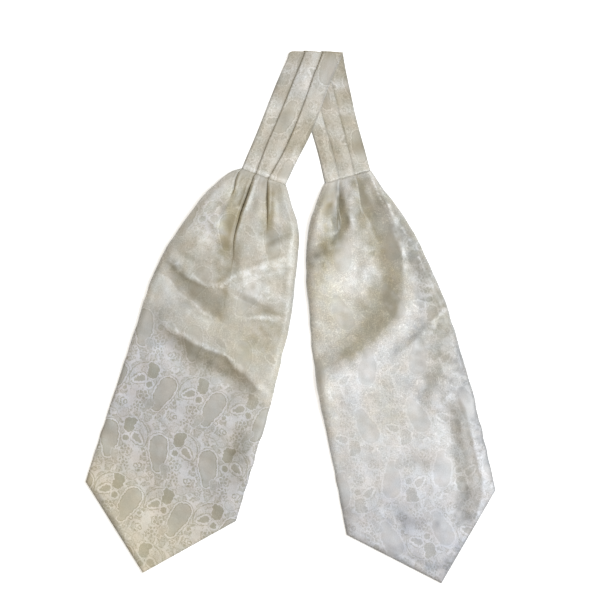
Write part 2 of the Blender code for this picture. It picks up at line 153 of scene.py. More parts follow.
RIGHT_SECTIONS = (
    (0.0, 1.4, -25.4, -10.3, 6.5, 25.6, 1.6),
    (5.0, 1.2, -29.3, -12.0, 7.2, 27.7, 4.0),
    (12.0, 1.0, -33.9, -13.3, 7.3, 30.2, 7.0),
    (22.0, 0.8, -40.3, -15.2, 7.1, 34.4, 9.5),
    (36.0, 0.6, -48.3, -19.0, 6.9, 41.3, 11.0),
    (55.0, 0.5, -56.0, -23.0, 12.8, 49.4, 11.5),
    (78.0, 0.8, -62.4, -22.0, 17.0, 57.3, 10.5),
    (105.0, 1.2, -67.5, -17.0, 18.8, 63.6, 9.0),
    (137.0, 1.8, -71.4, -11.0, 26.5, 70.3, 7.5),
    (173.0, 2.6, -76.2, -5.0, 31.0, 75.0, 6.0),
    (215.0, 3.6, -79.6, 0.5, 34.0, 78.2, 4.2),
    (262.0, 4.5, -79.9, 3.5, 35.5, 81.2, 2.8),
    (320.0, 5.6, -80.6, 5.0, 36.0, 82.4, 2.0),
    (365.0, 6.4, -81.9, 5.4, 36.0, 82.7, 1.4),
)

# A row for each pleat: where it opens out, how deep it is at the seam as a
# share of the crown, over how many mm the cloth beside it dips to its foot, and
# how much painted shade, darker and warmer, lies there.
PLEAT_NAMES = ("name", "opens_at", "depth", "reach", "shade")
LEFT_PLEATS = (
    ("slit", 34.0, 0.34, 3.0, 0.6),
    ("groove", 112.0, 0.36, 4.5, 0.75),
    ("tuck", 60.0, 0.36, 3.5, 0.5),
)
RIGHT_PLEATS = (
    ("pocket", 60.0, 0.46, 8.0, 0.0),
    ("valley", 60.0, 0.16, 12.0, 0.0),
)

# A row for each crease: its height, its sides, and its line as down, across, down,
# across and so on. The sides are a half width for a round crease, or (half width,
# crispness), or one such pair for each side. The first side is on the left of a
# line that runs down, and below one that runs to the right. A crispness of 1 gives
# a sharp crest and one of 2 a round one.
LEFT_CREASES = (
    (-5.4, ((6, 1.5), (17, 2)), (128, -84, 134, -66, 143, -50, 149, -35, 153, -22, 156, -9, 156, 4,
     153, 16)),
    (1.8, ((3, 1.3), (7, 1.5)), (112, -84, 116, -66, 123, -52, 127, -40, 128, -30, 126,
     -18, 121, -8, 115, 2, 107, 11, 98, 24, 93, 37, 86, 50, 80, 66)),
    (-2.8, ((4, 1.5), (9, 2)), (124, 2, 131, 13, 134, 27, 134, 40, 132, 54)),
    (1.4, ((3, 1.3), (5, 1.5)), (150, 18, 150, 27, 146, 42, 142, 57, 139, 70)),
    (1.2, (4, 1.4), (121, 6, 125, 20, 129, 36, 131, 52)),
    (-5, ((15, 1.8), (18, 2)), (190, -66, 198, -46, 203, -28, 204, -12, 203, 0, 206, 14, 213, 30,
     221, 45, 229, 60)),
    (3.2, ((12, 1.8), (34, 1.8)), (176, -66, 187, -40, 192, -15, 192, 5, 201, 32, 216, 62, 225,
     84)),
    (1.5, ((2.6, 1.3), (6, 1.6)), (176, -66, 187, -40, 190, -27, 192, -15, 191, -5, 192, 5, 193, 18,
     201, 32, 207, 45, 216, 62, 222, 80)),
    (-2.8, ((6, 2), (8, 1.6)), (72, 12, 62, 26, 50, 38, 40, 50)),
    (-2, ((5, 2), (7, 1.6)), (112, 14, 101, 32, 90, 50, 84, 66)),
    (-1.5, ((4, 2), (6, 1.6)), (96, 6, 86, 20, 76, 36, 66, 52)),
    (-2.6, ((12, 1.8), (8, 1.6)), (74, -7, 90, -4, 104, 2, 113, 7)),
    (-1.5, ((8, 1.8), (4, 1.8)), (10, -13, 24, -14, 36, -16, 46, -18)),
    (1.5, (9, 1.8), (50, -54, 60, -38, 68, -20)),
    (-1.2, (5, 1.8), (43, -48, 46, -28)),
    (1.2, ((8, 1.8), (6, 1.8)), (84, -56, 90, -36, 88, -18)),
    (-1.5, (6, 1.8), (104, -70, 108, -50, 114, -30)),
    (0.9, (8, 1.8), (170, 52, 178, 30, 184, 6)),
    (-0.9, (8, 1.8), (164, 36, 172, 10, 172, -14)),
    (-0.8, (9, 1.8), (262, 60, 282, 54, 304, 60)),
    (0.8, (10, 1.8), (300, -40, 318, -10, 326, 20)),
)
RIGHT_CREASES = (
    (1.8, ((4, 1.5), (8, 1.6)), (4, -3, 25, -3, 45, -7, 64, -12)),
    (-3, ((1.6, 1.6), (8, 2.6)), (12, -12, 28, -15, 42, -18, 52, -20, 58, -22)),
    (-4.6, ((34, 2.2), (17, 1.8)), (12, 8, 45, 11, 80, 14, 112, 11, 136, 2, 150, -14, 161, -34,
     170, -56, 178, -84, 186, -116)),
    (5, ((15, 1.25), (56, 2.6)), (-34, 18, -8, 25, 23, 32, 63, 36, 90, 39, 123, 33, 153,
     18, 177, -12, 187, -45, 200, -84, 212, -120)),
    (1.6, ((2.4, 1.3), (5, 1.5)), (4, 24, 23, 32, 63, 36, 90, 39, 112, 36, 123, 33)),
    (-2.2, ((12, 1.6), (9, 2)), (150, 62, 158, 48, 167, 34, 175, 18, 185, 1, 194, -14)),
    (1.6, ((3, 1.3), (13, 1.6)), (154, 80, 161, 66, 170, 52, 180, 38, 193, 15, 203, -6)),
    (-2.4, ((12, 1.7), (9, 2)), (212, 46, 222, 39, 236, 31, 248, 22, 256, 12)),
    (1.3, ((3.5, 1.4), (10, 1.6)), (268, 22, 262, 34, 254, 48, 244, 62, 230, 76)),
    (-2.8, ((10, 1.6), (9, 2)), (250, 54, 268, 52, 290, 51, 335, 51, 358, 50, 374, 42, 392, 30)),
    (1.5, ((3, 1.3), (6, 1.6)), (244, 66, 268, 69, 290, 70, 323, 71, 345, 72, 372, 62, 397, 48,
     410, 32)),
    (-2.4, ((9, 1.8), (9, 2)), (30, -14, 44, -18, 55, -27, 61, -36, 64, -46, 69, -58, 73, -72)),
    (1.3, (10, 1.8), (100, -14, 106, 0, 106, 14)),
    (0.9, ((6, 1.8), (16, 2)), (60, -20, 72, -9, 81, -2, 92, 6, 104, 14)),
    (-1.6, ((6, 2), (6, 1.6)), (145, 34, 147, 52, 152, 70, 154, 80)),
    (1.2, (6, 1.6), (302, 2, 295, 18, 287, 36)),
    (-1.3, (6, 1.6), (318, -16, 318, 8, 316, 30)),
    (-1.4, (6, 1.6), (66, -66, 80, -64, 94, -60)),
    (0.9, (9, 1.8), (287, -18, 280, -36, 272, -55)),
    (-0.9, (8, 1.8), (236, -10, 240, -30, 236, -50)),
    (-0.9, (8, 1.8), (366, -10, 372, -30, 366, -56)),
    (0.8, (10, 1.8), (342, 10, 352, -6, 352, -30)),
    (1, (8, 1.8), (132, -60, 140, -40, 142, -20)),
    (-1, (7, 1.8), (116, -66, 124, -44, 122, -24)),
)

# A row for each band of silk that catches the light or lies in shade, painted into its
# colour: its strength, its sides and its line, as for creases. A sheen is a painted
# highlight, or painted shade where negative; a grey is painted neutral shade, a tan painted brown
# shade.
LEFT_TONES = {
    "sheen": (
        (0.4, 14, (136, -88, 154, -68, 160, -50, 162, -34)),
        (0.5, 6, (10, -2, 30, -1, 60, 3, 100, 10, 120, 14)),
        (0.7, 11, (4, -26, 30, -42, 60, -52, 82, -58, 100, -60)),
        (1.4, 16, (140, 8, 120, 20, 100, 33, 76, 44, 60, 62)),
        (0.8, 8, (122, 6, 119, 30, 120, 56, 122, 78)),
        (0.4, (5, 1.6), (108, 4, 98, 26, 90, 48, 82, 72)),
        (0.4, ((8, 2), (9, 2)), (160, -34, 164, -16, 162, 4, 156, 22)),
        (0.3, 10, (186, -66, 200, -48, 214, -30, 224, -8)),
        (0.25, 9, (222, 26, 232, 50, 240, 70, 248, 86)),
        (0.3, 12, (160, 78, 190, 76, 240, 84, 310, 84)),
        (0.7, 8, (56, -26, 74, -31, 92, -38, 108, -44, 120, -46)),
        (0.7, 8, (174, 10, 184, 30, 194, 50)),
        (0.4, 7, (202, 42, 213, 56, 226, 72)),
        (0.4, 30, (90, -66, 170, -60, 240, -66, 310, -66)),
        (0.3, 30, (280, -66, 330, -56, 380, -24, 430, 0)),
        (1.8, (1.6, 1.6), (116, -54, 122, -38, 128, -23, 124, -6, 112, 3, 100, 15, 92, 28)),
        (1.6, (1.6, 1.6), (174, -62, 182, -44, 187, -22, 190, -7, 191, 11, 196, 32, 205, 56)),
        (1.6, (1.8, 1.6), (146, -40, 152, -28, 158, -16, 160, -4, 158, 8)),
        (1.5, (1.6, 1.6), (154, 12, 150, 27, 144, 42, 139, 56, 134, 72)),
        (0.8, (2, 1.6), (120, -4, 122, 7, 124, 22, 123, 37, 118, 55, 112, 72)),
        (0.8, (2, 1.6), (112, -2, 106, 7, 96, 20, 86, 34, 73, 57, 66, 74)),
        (0.4, 22, (180, -80, 225, -76, 280, -72)),
        (0.75, ((10, 2), (8, 2)), (56, -46, 72, -40, 86, -32)),
        (-0.35, 7, (162, 34, 172, 50, 178, 66)),
        (0.45, 10, (188, 36, 197, 52, 205, 68)),
        (-0.8, 7, (110, -16, 124, -6, 130, 4, 140, 18)),
        (0.6, 7, (146, 4, 148, 18, 152, 38)),
        (-0.7, 6, (137, 34, 136, 52, 134, 72)),
        (0.6, 7, (60, 28, 70, 37, 78, 46)),
        (-0.9, ((7, 2), (9, 2)), (66, -17, 82, -20, 96, -18, 110, -12, 128, -4)),
        (-0.9, ((9, 1.8), (8, 1.8)), (6, -9, 18, -13, 32, -15, 54, -15, 76, -13, 98, -10, 120, -4)),
        (-1.1, 7, (4, 8, 24, 14, 42, 19, 62, 20, 78, 22)),
        (0.6, 4, (8, -3, 20, -3, 36, -2)),
        (0.5, 6, (96, 40, 88, 48, 82, 60)),
        (-0.35, 10, (168, 16, 172, 40, 160, 54, 144, 56)),
        (-0.35, 8, (136, 70, 150, 56, 164, 40)),
        (-0.35, 13, (258, 34, 280, 52, 304, 66, 336, 74)),
    ),
    "grey_shade": (
        (0.7, ((7, 2), (5, 2.2)), (192, -34, 199, -22, 204, -8, 207, 8, 211, 24, 214, 38)),
        (0.4, 8, (200, -70, 205, -56, 209, -42)),
        (0.3, 13, (286, 32, 292, 54, 300, 78)),
        (0.7, 6, (362, -82, 380, -63, 400, -41, 420, -19, 440, 5)),
        (0.3, 8, (320, 38, 332, 56, 342, 74)),
        (0.6, 8, (12, -16, 28, -18, 46, -21)),
        (0.32, 9, (244, 78, 266, 70, 298, 68, 336, 80)),
        (-0.4, 7, (130, -78, 180, -81, 240, -82, 320, -82)),
        (-0.3, 7, (120, 70, 170, 75, 220, 79, 280, 81)),
        (0.4, 6, (104, -78, 115, -62, 123, -46)),
        (0.2, 7, (164, -70, 178, -54, 186, -40)),
        (0.25, 30, (90, -66, 170, -60, 240, -66, 310, -66)),
    ),
    "tan": (
        (0.3, 24, (130, 60, 200, 66, 260, 66, 320, 50)),
        (0.5, 18, (14, -14, 36, -22, 60, -30, 84, -36)),
        (0.45, 26, (140, -20, 160, 10, 180, 50, 190, 70)),
        (0.5, 9, (192, -36, 204, -8, 211, 24, 216, 44)),
        (1.2, ((9, 2), (8, 2)), (4, -14, 16, -17, 31, -18, 52, -19, 71, -18, 88, -16, 104, -11)),
        (0.9, ((10, 2), (12, 2)), (2, 9, 20, 14, 33, 17, 50, 20, 70, 23)),
    ),
}
RIGHT_TONES = {
    "sheen": (
        (0.75, 17, (96, -70, 108, -44, 113, -22, 108, 2)),
        (0.2, ((5, 1.8), (6, 1.8)), (6, -1, 30, -4, 52, -8, 70, -16)),
        (0.8, 7, (-24, -4, -4, -5, 12, -5, 26, -6)),
        (0.4, 6, (10, -32, 30, -40, 60, -51, 84, -58)),
        (0.7, 12, (156, 56, 168, 36, 187, 10, 207, -32, 224, -90)),
        (0.6, ((8, 2), (10, 2)), (150, -34, 160, -50, 170, -66, 182, -92)),
        (0.5, 18, (412, 14, 394, 48, 370, 84)),
        (0.3, 34, (270, -40, 300, -34, 340, -30)),
        (0.15, 9, (230, 72, 290, 78, 360, 80)),
        (0.7, 5, (158, 80, 165, 62, 172, 40, 181, 14)),
        (0.8, 3.5, (225, 54, 230, 66, 236, 78)),
        (0.5, 14, (314, 26, 334, 22, 352, 18)),
        (0.8, 50, (320, -40, 370, -20, 410, 0, 450, 10)),
        (1.9, (1.3, 1.8), (-12, 20, 8, 25, 34, 31, 60, 34.5, 76, 36.5, 90, 39.5, 101, 40, 118, 35)),
        (1.4, 3, (0, 22, 4, 23, 20, 28, 36, 32, 52, 34, 66, 35, 84, 38, 100, 40)),
        (-0.75, ((9, 2), (7, 2)), (-6, 7, 10, 8, 42, 8, 75, 9, 104, 12)),
        (-0.8, ((5, 2), (6, 2)), (0, 4, 12, 6, 24, 7, 38, 8)),
        (-0.8, ((8, 2), (9, 2)), (14, -24, 36, -26, 56, -32, 76, -40)),
        (0.9, 8, (-10, -28, 3, -14, 12, 2)),
        (-0.7, 8, (102, 16, 118, 18, 134, 20, 148, 16)),
        (0.9, 7, (94, -8, 106, 1, 116, 8)),
        (0.4, 8, (138, -68, 145, -50, 149, -34)),
        (-0.9, 9, (44, -22, 60, -30, 82, -42, 106, -57, 124, -70)),
        (-0.75, ((13, 2), (10, 2)), (122, -8, 138, -6, 154, -8, 168, -20)),
        (-0.8, 8, (116, -8, 129, 2, 142, 12)),
        (-0.5, 6, (172, 20, 186, 2, 196, -18)),
        (0.3, 10, (200, 8, 210, -8, 218, -28, 226, -50)),
        (0.8, 8, (212, -70, 228, -54, 242, -38)),
        (0.35, 8, (162, -76, 174, -63, 186, -50)),
        (0.4, 12, (254, -60, 270, -46, 286, -34)),
        (0.4, 7, (292, -12, 294, 6, 290, 24)),
        (-0.9, ((11, 2.4), (9, 2)), (130, 24, 153, 13, 172, -8, 184, -36, 192, -60)),
        (-0.5, 14, (190, 66, 212, 53, 245, 46)),
        (-1, ((3, 2.4), (3.5, 2.4)), (-8, -8, 8, -11.5, 22, -14.5, 36, -18.5, 50, -21.5, 66, -22)),
        (0.8, 7, (4, -34, 10, -26, 15, -12, 14, 2)),
    ),
    "grey_shade": (
        (1.2, ((14, 2.6), (15, 2.6)), (4, 30, 38, 44, 73, 51, 107, 56, 140, 62)),
        (0.4, 16, (168, 84, 178, 64, 196, 46, 220, 36, 250, 38)),
        (0.4, 9, (200, 8, 220, 10, 236, 16, 256, 24)),
        (0.7, ((7, 2), (5, 2)), (12, -18, 36, -22, 54, -26, 74, -34)),
        (0.55, 8, (62, -30, 75, -46, 88, -62)),
        (0.35, 7, (88, 30, 103, 36, 118, 37)),
        (0.4, 6, (116, 62, 132, 63, 148, 70)),
        (0.5, 8, (226, 50, 242, 32, 256, 14)),
        (0.3, 6, (6, 0, 30, 1, 50, -2, 76, -8)),
        (0.3, 7, (22, 18, 52, 24, 82, 29)),
        (1.4, 5, (60, 41, 82, 46, 104, 51)),
        (0.6, 7, (186, 54, 214, 56, 238, 60, 262, 62)),
        (0.3, 8, (236, 46, 266, 45, 298, 42)),
        (0.35, 8, (322, -79, 352, -76, 380, -70)),
        (0.35, ((3, 2), (9, 2)), (-6, 25, 36, 41, 78, 57, 137, 70, 215, 78, 320, 82, 376, 83)),
        (0.7, (13, 2.4), (122, 62, 144, 62, 160, 68, 176, 64, 196, 66, 214, 72)),
        (0.5, ((5, 2), (7, 2)), (162, 60, 175, 38, 184, 22, 194, 4, 204, -14)),
        (0.8, ((9, 2.2), (8, 2.2)), (188, 74, 214, 74, 242, 74, 268, 78)),
        (0.55, (8, 2.2), (120, 54, 132, 51, 149, 45, 173, 32, 190, 22)),
        (0.9, ((3, 2.6), (2.6, 2.6)), (-8, -9, 8, -12.6, 22, -15.8, 36, -19.6, 50, -22.8, 66, -23)),
        (0.3, (8, 2.2), (398, 44, 426, 16, 454, -14)),
        (0.4, 5, (352, 82, 386, 57, 412, 35, 440, 11, 456, -4)),
        (0.3, 8, (18, 6, 50, 9, 78, 12)),
        (0.5, 5, (24, -22, 46, -24, 66, -28, 84, -34)),
        (0.35, 6, (58, -49, 79, -53, 100, -57)),
        (0.55, (9, 2.2), (252, 58, 277, 57, 304, 54, 330, 52, 356, 49, 374, 45, 396, 34)),
        (0.9, (7, 2.2), (258, 79, 290, 78, 322, 79, 340, 80)),
        (0.4, (8, 2.4), (388, -52, 404, -32, 415, -11, 427, 8, 450, 34)),
        (0.45, 5, (314, -20, 310, 0, 304, 20)),
        (0.5, 50, (320, -40, 370, -20, 410, 0, 450, 10)),
        (0.7, 10, (340, 53, 366, 48, 384, 40, 398, 32)),
        (0.35, 7, (181, -36, 193, -60, 204, -84, 211, -104)),
        (0.45, 8, (354, -40, 367, -28, 374, -8, 375, 16, 368, 34)),
        (0.3, 9, (330, -80, 362, -76, 380, -64, 397, -51, 416, -34)),
    ),
    "tan": (
        (0.9, (16, 2.4), (4, 32, 38, 46, 73, 53, 107, 58, 150, 64, 196, 60)),
        (0.5, 9, (6, -18, 36, -22, 60, -30, 84, -44)),
        (0.5, 22, (60, -44, 110, -46, 150, -44, 184, -52)),
        (0.35, 26, (236, -44, 260, -20, 272, 14)),
        (0.6, 12, (160, 76, 180, 62, 200, 56, 230, 44)),
        (0.4, 10, (300, 52, 340, 50, 370, 46, 396, 36)),
        (0.5, ((10, 2), (8, 2)), (20, 8, 60, 12, 96, 24, 120, 30, 142, 22)),
        (0.6, 14, (0, -22, 30, -28, 56, -36, 90, -48)),
        (0.4, 13, (150, -66, 190, -74, 230, -74, 275, -70)),
    ),
}

# Neckband
# A row for each section, up the picture and down again: its left and right end in
# the part's frame, and the shares of its width where the two pleats' lips lie
UPPER_SECTIONS = (
    (-46.0, 172.4, 2.2, 156.4, 0.31, 0.65),
    (-38.9, 188.8, 11.0, 174.0, 0.29, 0.67),
    (-29.2, 212.8, 21.4, 194.6, 0.29, 0.66),
    (-20.0, 236.6, 32.6, 222.4, 0.30, 0.66),
    (-11.2, 258.7, 42.4, 250.6, 0.31, 0.65),
    (-5.4, 273.0, 50.6, 268.8, 0.31, 0.64),
)
FOLD_SECTION = (-2.2, 282.2, 55.8, 280.6, 0.31, 0.63)
LOWER_SECTIONS = (
    (3.2, 262.0, 59.2, 261.4, 0.32, 0.66),
    (9.6, 238.0, 64.4, 237.4, 0.33, 0.68),
    (16.6, 214.6, 69.4, 214.2, 0.32, 0.67),
    (23.4, 194.0, 74.6, 194.4, 0.31, 0.66),
    (29.6, 172.4, 80.2, 174.4, 0.31, 0.65),
)
SEAM_LINES_LEFT = (0.335, 0.62)
SEAM_LINES_RIGHT = (0.31, 0.635)
SEAM_GAP = 0.05              # between a blade's end and the neckband's
SEAM_INSET = 0.3             # how far in from the blade's edges the neckband's lie
PLEAT_DEPTH = 7.0
PLEAT_SLOPE = 1.0
TURNED_AT_FOLD = 0.35        # how far the pleats have turned over at the fold's end
TURNED_BY = 0.35             # the share of the lower stretch where they have fully
BAND_SHELL = 0.36            # thickness of the neckband's shell of cloth
LAYER_STEP = BAND_SHELL + 0.08
LAYERS = tuple(BAND_SHELL / 2 + LAYER_STEP * layer for layer in range(3))
BAND_HEIGHT = LAYERS[2] + BAND_SHELL / 2
SWELL = 1.5                  # how far the neckband's ends rise to the gathers
SWELL_REACH = 22.0
SWELL_EDGE = 0.2             # the share of the width over which they round off
WAVE = 0.9                   # height of the neckband's soft waves
WAVE_FROM = 12.0             # how far from the seams they are full
BEAD = 0.8                   # height of the rolled ends of the neckband
BEAD_PLACE = (3.2, 2.0)      # their distance from the seam and their half width
LEAST_STEP = 0.3             # how far the pattern runs on at least from row to row
STACK_GAP = 0.6              # between the two stretches where they cross
FOLD_INNER = 0.6             # inner radius of the fold at the top
FOLD_CORNER = 6.5            # radius of the fold's left corner
CORNER_FULLNESS = 0.75
CORNER_REACH = 0.4           # over what share of a stretch its drop fades out
LAP_OUT = 9.0                # how far outside the lower stretch the upper one starts to rise
LAP_IN = 10.0                # and how far inside it has risen
CROSS_FROM = 168.0           # where up the picture the crossing starts
CROSS_REACH = 14.0
TURN_FROM = 254.0            # and where the upper stretch rises to the fold
TURN_REACH = 22.0
FOOT_REACH = 2.4             # how far the painted shade beside a pleat of the neckband spreads
FOOT_SHADE = 0.4
FOOT_LINE = 0.55             # how dark the painted shade line along a pleat's foot is
FOOT_LINE_PLACE = (0.5, 0.8)    # its distance from the foot and its half width
UNDER_SHADE = 0.7            # how much painted shade darkens the left edge, by the opening
UNDER_REACH = 2.2            # how far in that shade reaches
SEAM_GLINT = 1.3             # how bright the painted glint on the rolled end at the left blade is
SEAM_GLINT_PLACE = (2.6, 2.4)   # its distance from the seam and its half width

# How much painted shade, darker and warmer, lies on the neckband's left, middle and right
# strip, by its place up the picture; a negative value is painted sheen
UPPER_TONES = (
    (140, -0.5, 0.1, 0.1), (152, -1.0, 0.1, 0.1), (160, -0.5, 0.2, 0.1), (168, -0.1, 0.3, -0.3),
    (176, 0.3, 0.3, 0.6), (184, 0.4, 0.4, 0.9), (192, 0.35, 0.4, 0.6), (200, 0.3, 0.4, 0.6),
    (210, 0.25, 0.35, 0.2), (217, 0.15, 0.3, 0.0), (222, -0.5, -0.3, 0.1), (230, 0.1, -0.1, 0.3),
    (237, 0.3, -0.3, 0.5), (244, 0.5, -0.3, 0.5), (254, 0.25, -0.2, 0.45), (266, 0.3, 0.0, 0.5),
    (272, 0.5, 0.4, 0.5), (284, 0.7, 0.6, 0.7),
)
LOWER_TONES = (
    (148, -0.6, -0.6, -0.6), (160, 0.1, 0.2, 0.3), (166, 0.5, 0.5, 0.1), (172, 0.4, 0.5, 0.3),
    (176, 0.4, 0.7, 0.5), (184, 0.3, 0.4, 0.7), (192, 0.3, 0.2, 0.5), (200, 0.1, 0.1, 0.5),
    (206, -0.8, 0.2, 0.5), (213, -0.6, 0.0, 0.4), (219, 0.0, -0.2, -0.5), (226, 0.2, 0.2, 0.4),
    (236, 0.4, 0.5, 0.8), (242, 0.5, 0.5, 0.5), (247, 0.5, 0.5, -0.1), (256, 0.7, 0.7, 0.9),
    (284, 0.7, 0.7, 0.7),
)
BAND_TAN = 0.35              # how much painted brown shade lies on the neckband's silk, below its top
BAND_TAN_TOP = 242.0
BAND_TAN_REACH = 22.0
BAND_UPPER_STEPS = 120
BAND_FOLD_STEPS = 16
BAND_LOWER_STEPS = 100
BAND_SPAN_STEPS = (8, 8, 5, 2, 2, 3, 2, 2, 6, 7, 5, 2, 2, 3, 2, 2, 6, 5, 5)
BAND_EDGE_PLACES = (0.12, 0.35)   # columns this far in from each edge round it off

# Fineness of the blades
LEFT_STRIPS = (30, 24, 24, 34)
RIGHT_STRIPS = (36, 30, 36)
ROWS = 262
SEAM_ROWS = (0.0, 0.35, 0.8, 1.35)   # these round off the end at the neckband
ROWS_FROM = 2.0              # and the others start here
BACK_COLUMNS = 36
BACK_EDGE_COLUMNS = (0.002, 0.006, 0.994, 0.998)
BACK_ROWS = 120

# Damask
REPEAT_ACROSS = 55.0
REPEAT_DOWN = 61.5
FILLER = 12.0                # size of the leaves that fill the ground
WOBBLE = 3.2                 # how unevenly the motifs are woven
ROW_TOP = 34.0               # a row of motifs starts this far above its middle
ROW_SHIFT = 23.0             # where across the cloth the rows' motifs stand
ODD_SHIFT = 14.0             # and how much further in every other row, which is mirrored
SOFT = 0.6                   # mm over which satin turns to matte weave
UNTURNED = -250.0            # where the pattern starts on cloth that isn't turned round

# The motifs, from the middle of a repeat. A drop: its place, how softly its discs
# blend, and each disc's place from there and radius.
BOTEHS = {
    "opening": (24, 15, 2.0, ((0, -10, 3.2), (0, -3, 3.8), (-1, 5, 4.2), (-2, 12, 3.4))),
    "comma": (-6, -30, 2.0, ((0, 0.5, 6.2), (6, -2.5, 4.4), (12, -2.5, 3.0), (17, 0.5, 1.8),
                             (20, 4.5, 1.0))),
    "small": (-17, -17, 1.6, ((0, 1.5, 5.8), (0.5, -3, 5.6), (-3.5, -6, 3.4))),
    "drop": (-29, -6, 1.5, ((2.5, -1.5, 3.6), (-0.5, 0.5, 3.0), (-4, 2.5, 1.6))),
    "large": (0, 0, 1.5, ((2.5, -7.5, 9.4), (0.8, -1, 9.8), (-1.2, 5, 8.8), (-2.4, 11, 6.8),
                          (-3.4, 16.5, 5.6))),
    "tail": (-10.5, 15.5, 1.5, ((0, 0, 4.2), (-1.5, 4.5, 3.6), (-4, 9, 2.4))),
}
# A flower: its place, its petals, how far out they stand, their radius and their turn
FLOWERS = ((-20, 9, 5, 3.6, 1.7, 0.0), (-22, 22, 7, 4.2, 1.2, 0.4), (14, 4, 3, 3.6, 2.2, 0.5),
           (2, 28, 6, 3.0, 1.0, 0.9))
BEADS = (-26, -17, 9, 3.6, 0.9, 0.2)
# The horn: its outer disc, the disc cut out of it, and the corner right of and below
# which it ends
HORN = ((-21.5, -7, 18.6), (-25, -2, 11.6), (-18, 0))
OVAL = (-17, -3, 3.3)
RINGS = ((16, 21, 2.6), (7, 15, 1.9), (-36, 22, 2.0))

# Each silk: where the pattern turns round, its contrast, the tone of the large drop,
# how clear its outline is, how white the threads' painted sheen is, and the colours of the satin,
# of the matte weave and the tint of painted shade in a hollow
# The white of the threads' painted sheen
THREAD_WHITE = (0.88, 0.88, 0.88, 1.0)
SILK_COLUMNS = ("turned", "contrast", "solid", "outline", "lit", "satin", "matte", "shade_tint")
SILKS = {
    "left": (0.0, 1.0, 0.62, 0.9, 0.5, (0.70, 0.70, 0.73), (0.40, 0.39, 0.325), (0.64, 0.60, 0.49)),
    "right": (203.5, 0.85, 0.48, 0.25, 1.15, (0.735, 0.74, 0.78), (0.46, 0.455, 0.435),
              (0.66, 0.63, 0.525)),
    "band": (0.0, 0.85, 0.6, 0.8, 1.0, (0.70, 0.69, 0.68), (0.43, 0.41, 0.355), (0.64, 0.59, 0.46)),
    "back": (0.0, 0.8, 0.95, 1.0, 0.5, (0.68, 0.66, 0.62), (0.46, 0.44, 0.38), (0.64, 0.59, 0.46)),
}

# How clearly the pattern shows, by the place down the blade, painted for how the satin's sheen
# falls there
LEFT_LUSTRE = ((0.0, 0.16), (90.0, 0.2), (105.0, 0.14), (185.0, 0.14), (215.0, 0.75), (245.0, 1.0),
               (390.0, 1.0), (430.0, 0.7))
RIGHT_LUSTRE = ((0.0, 0.1), (140.0, 0.14), (190.0, 0.35), (260.0, 0.6), (320.0, 0.72), (400.0, 1.0))
BAND_LUSTRE = 0.7

# Light
COOL = (0.92, 0.98, 1.05)
WARM = (1.0, 0.885, 0.70)
KEY_PLACE = (0.95, 0.15, 1.35)


def ease(value):
    """Smooth 0 to 1."""
    value = np.clip(value, 0.0, 1.0)
    return value * value * (3.0 - 2.0 * value)


def hill(value, middle, reach):
    return np.exp(-(((value - middle) / reach) ** 2))


def smooth_values(places, values, at):
    """A smooth curve through values at rising places, read at other places."""
    places = np.asarray(places, float)
    values = np.asarray(values, float)
    at = np.clip(at, places[0], places[-1])
    right = np.clip(np.searchsorted(places, at), 1, len(places) - 1)
    left = right - 1
    low = np.maximum(np.arange(len(places)) - 1, 0)
    high = np.minimum(np.arange(len(places)) + 1, len(places) - 1)
    slopes = (values[high] - values[low]) / (places[high] - places[low])
    span = places[right] - places[left]
    t = (at - places[left]) / span
    start = values[left] * (1 + 2 * t) * (1 - t) ** 2 + slopes[left] * span * t * (1 - t) ** 2
    end = values[right] * t * t * (3 - 2 * t) - slopes[right] * span * t * t * (1 - t)
    return start + end


def quarter_drop(inside, radius):
    """How far a quarter-round edge lies below its crown, at a distance inside it."""
    short = np.clip(radius - inside, 0.0, radius)
    return radius - np.sqrt(radius ** 2 - short ** 2)


def dome(inside):
    """The height of a quarter-round rim, from 0 at the edge to 1 inside."""
    return np.sqrt(1.0 - (1.0 - np.clip(inside, 0.0, 1.0)) ** 2)


def soft_noise(down, across, long_cell, wide_cell, seed):
    """Smooth random heights from -1 to 1, with cells of a given length and width."""
    grid = np.random.default_rng(seed).uniform(-1.0, 1.0, (64, 64))
    x = down / long_cell + 20.0
    y = across / wide_cell + 20.0
    i = np.floor(x).astype(int)
    j = np.floor(y).astype(int)
    fx = ease(x - i)
    fy = ease(y - j)
    i0, i1, j0, j1 = i % 64, (i + 1) % 64, j % 64, (j + 1) % 64
    near = grid[i0, j0] * (1 - fy) + grid[i0, j1] * fy
    far = grid[i1, j0] * (1 - fy) + grid[i1, j1] * fy
    return near * (1 - fx) + far * fx


def ripple(name, down, across, seed=0):
    """One of the named kinds of small random relief, or of unevenness in painted light."""
    amount, long_cell, wide_cell, own_seed = RIPPLES[name]
    return amount * soft_noise(down, across, long_cell, wide_cell, own_seed + seed)


def path_places(points):
    """How far along a path each of its points lies."""
    return np.concatenate([[0.0], np.cumsum(np.hypot(*np.diff(points, axis=0).T))])


def two_sides(sides):
    """A fold's two sides as (half width, crispness), from any of their three forms."""
    if not isinstance(sides, tuple):
        sides = (sides, ROUND)
    return sides if isinstance(sides[0], tuple) else (sides, sides)


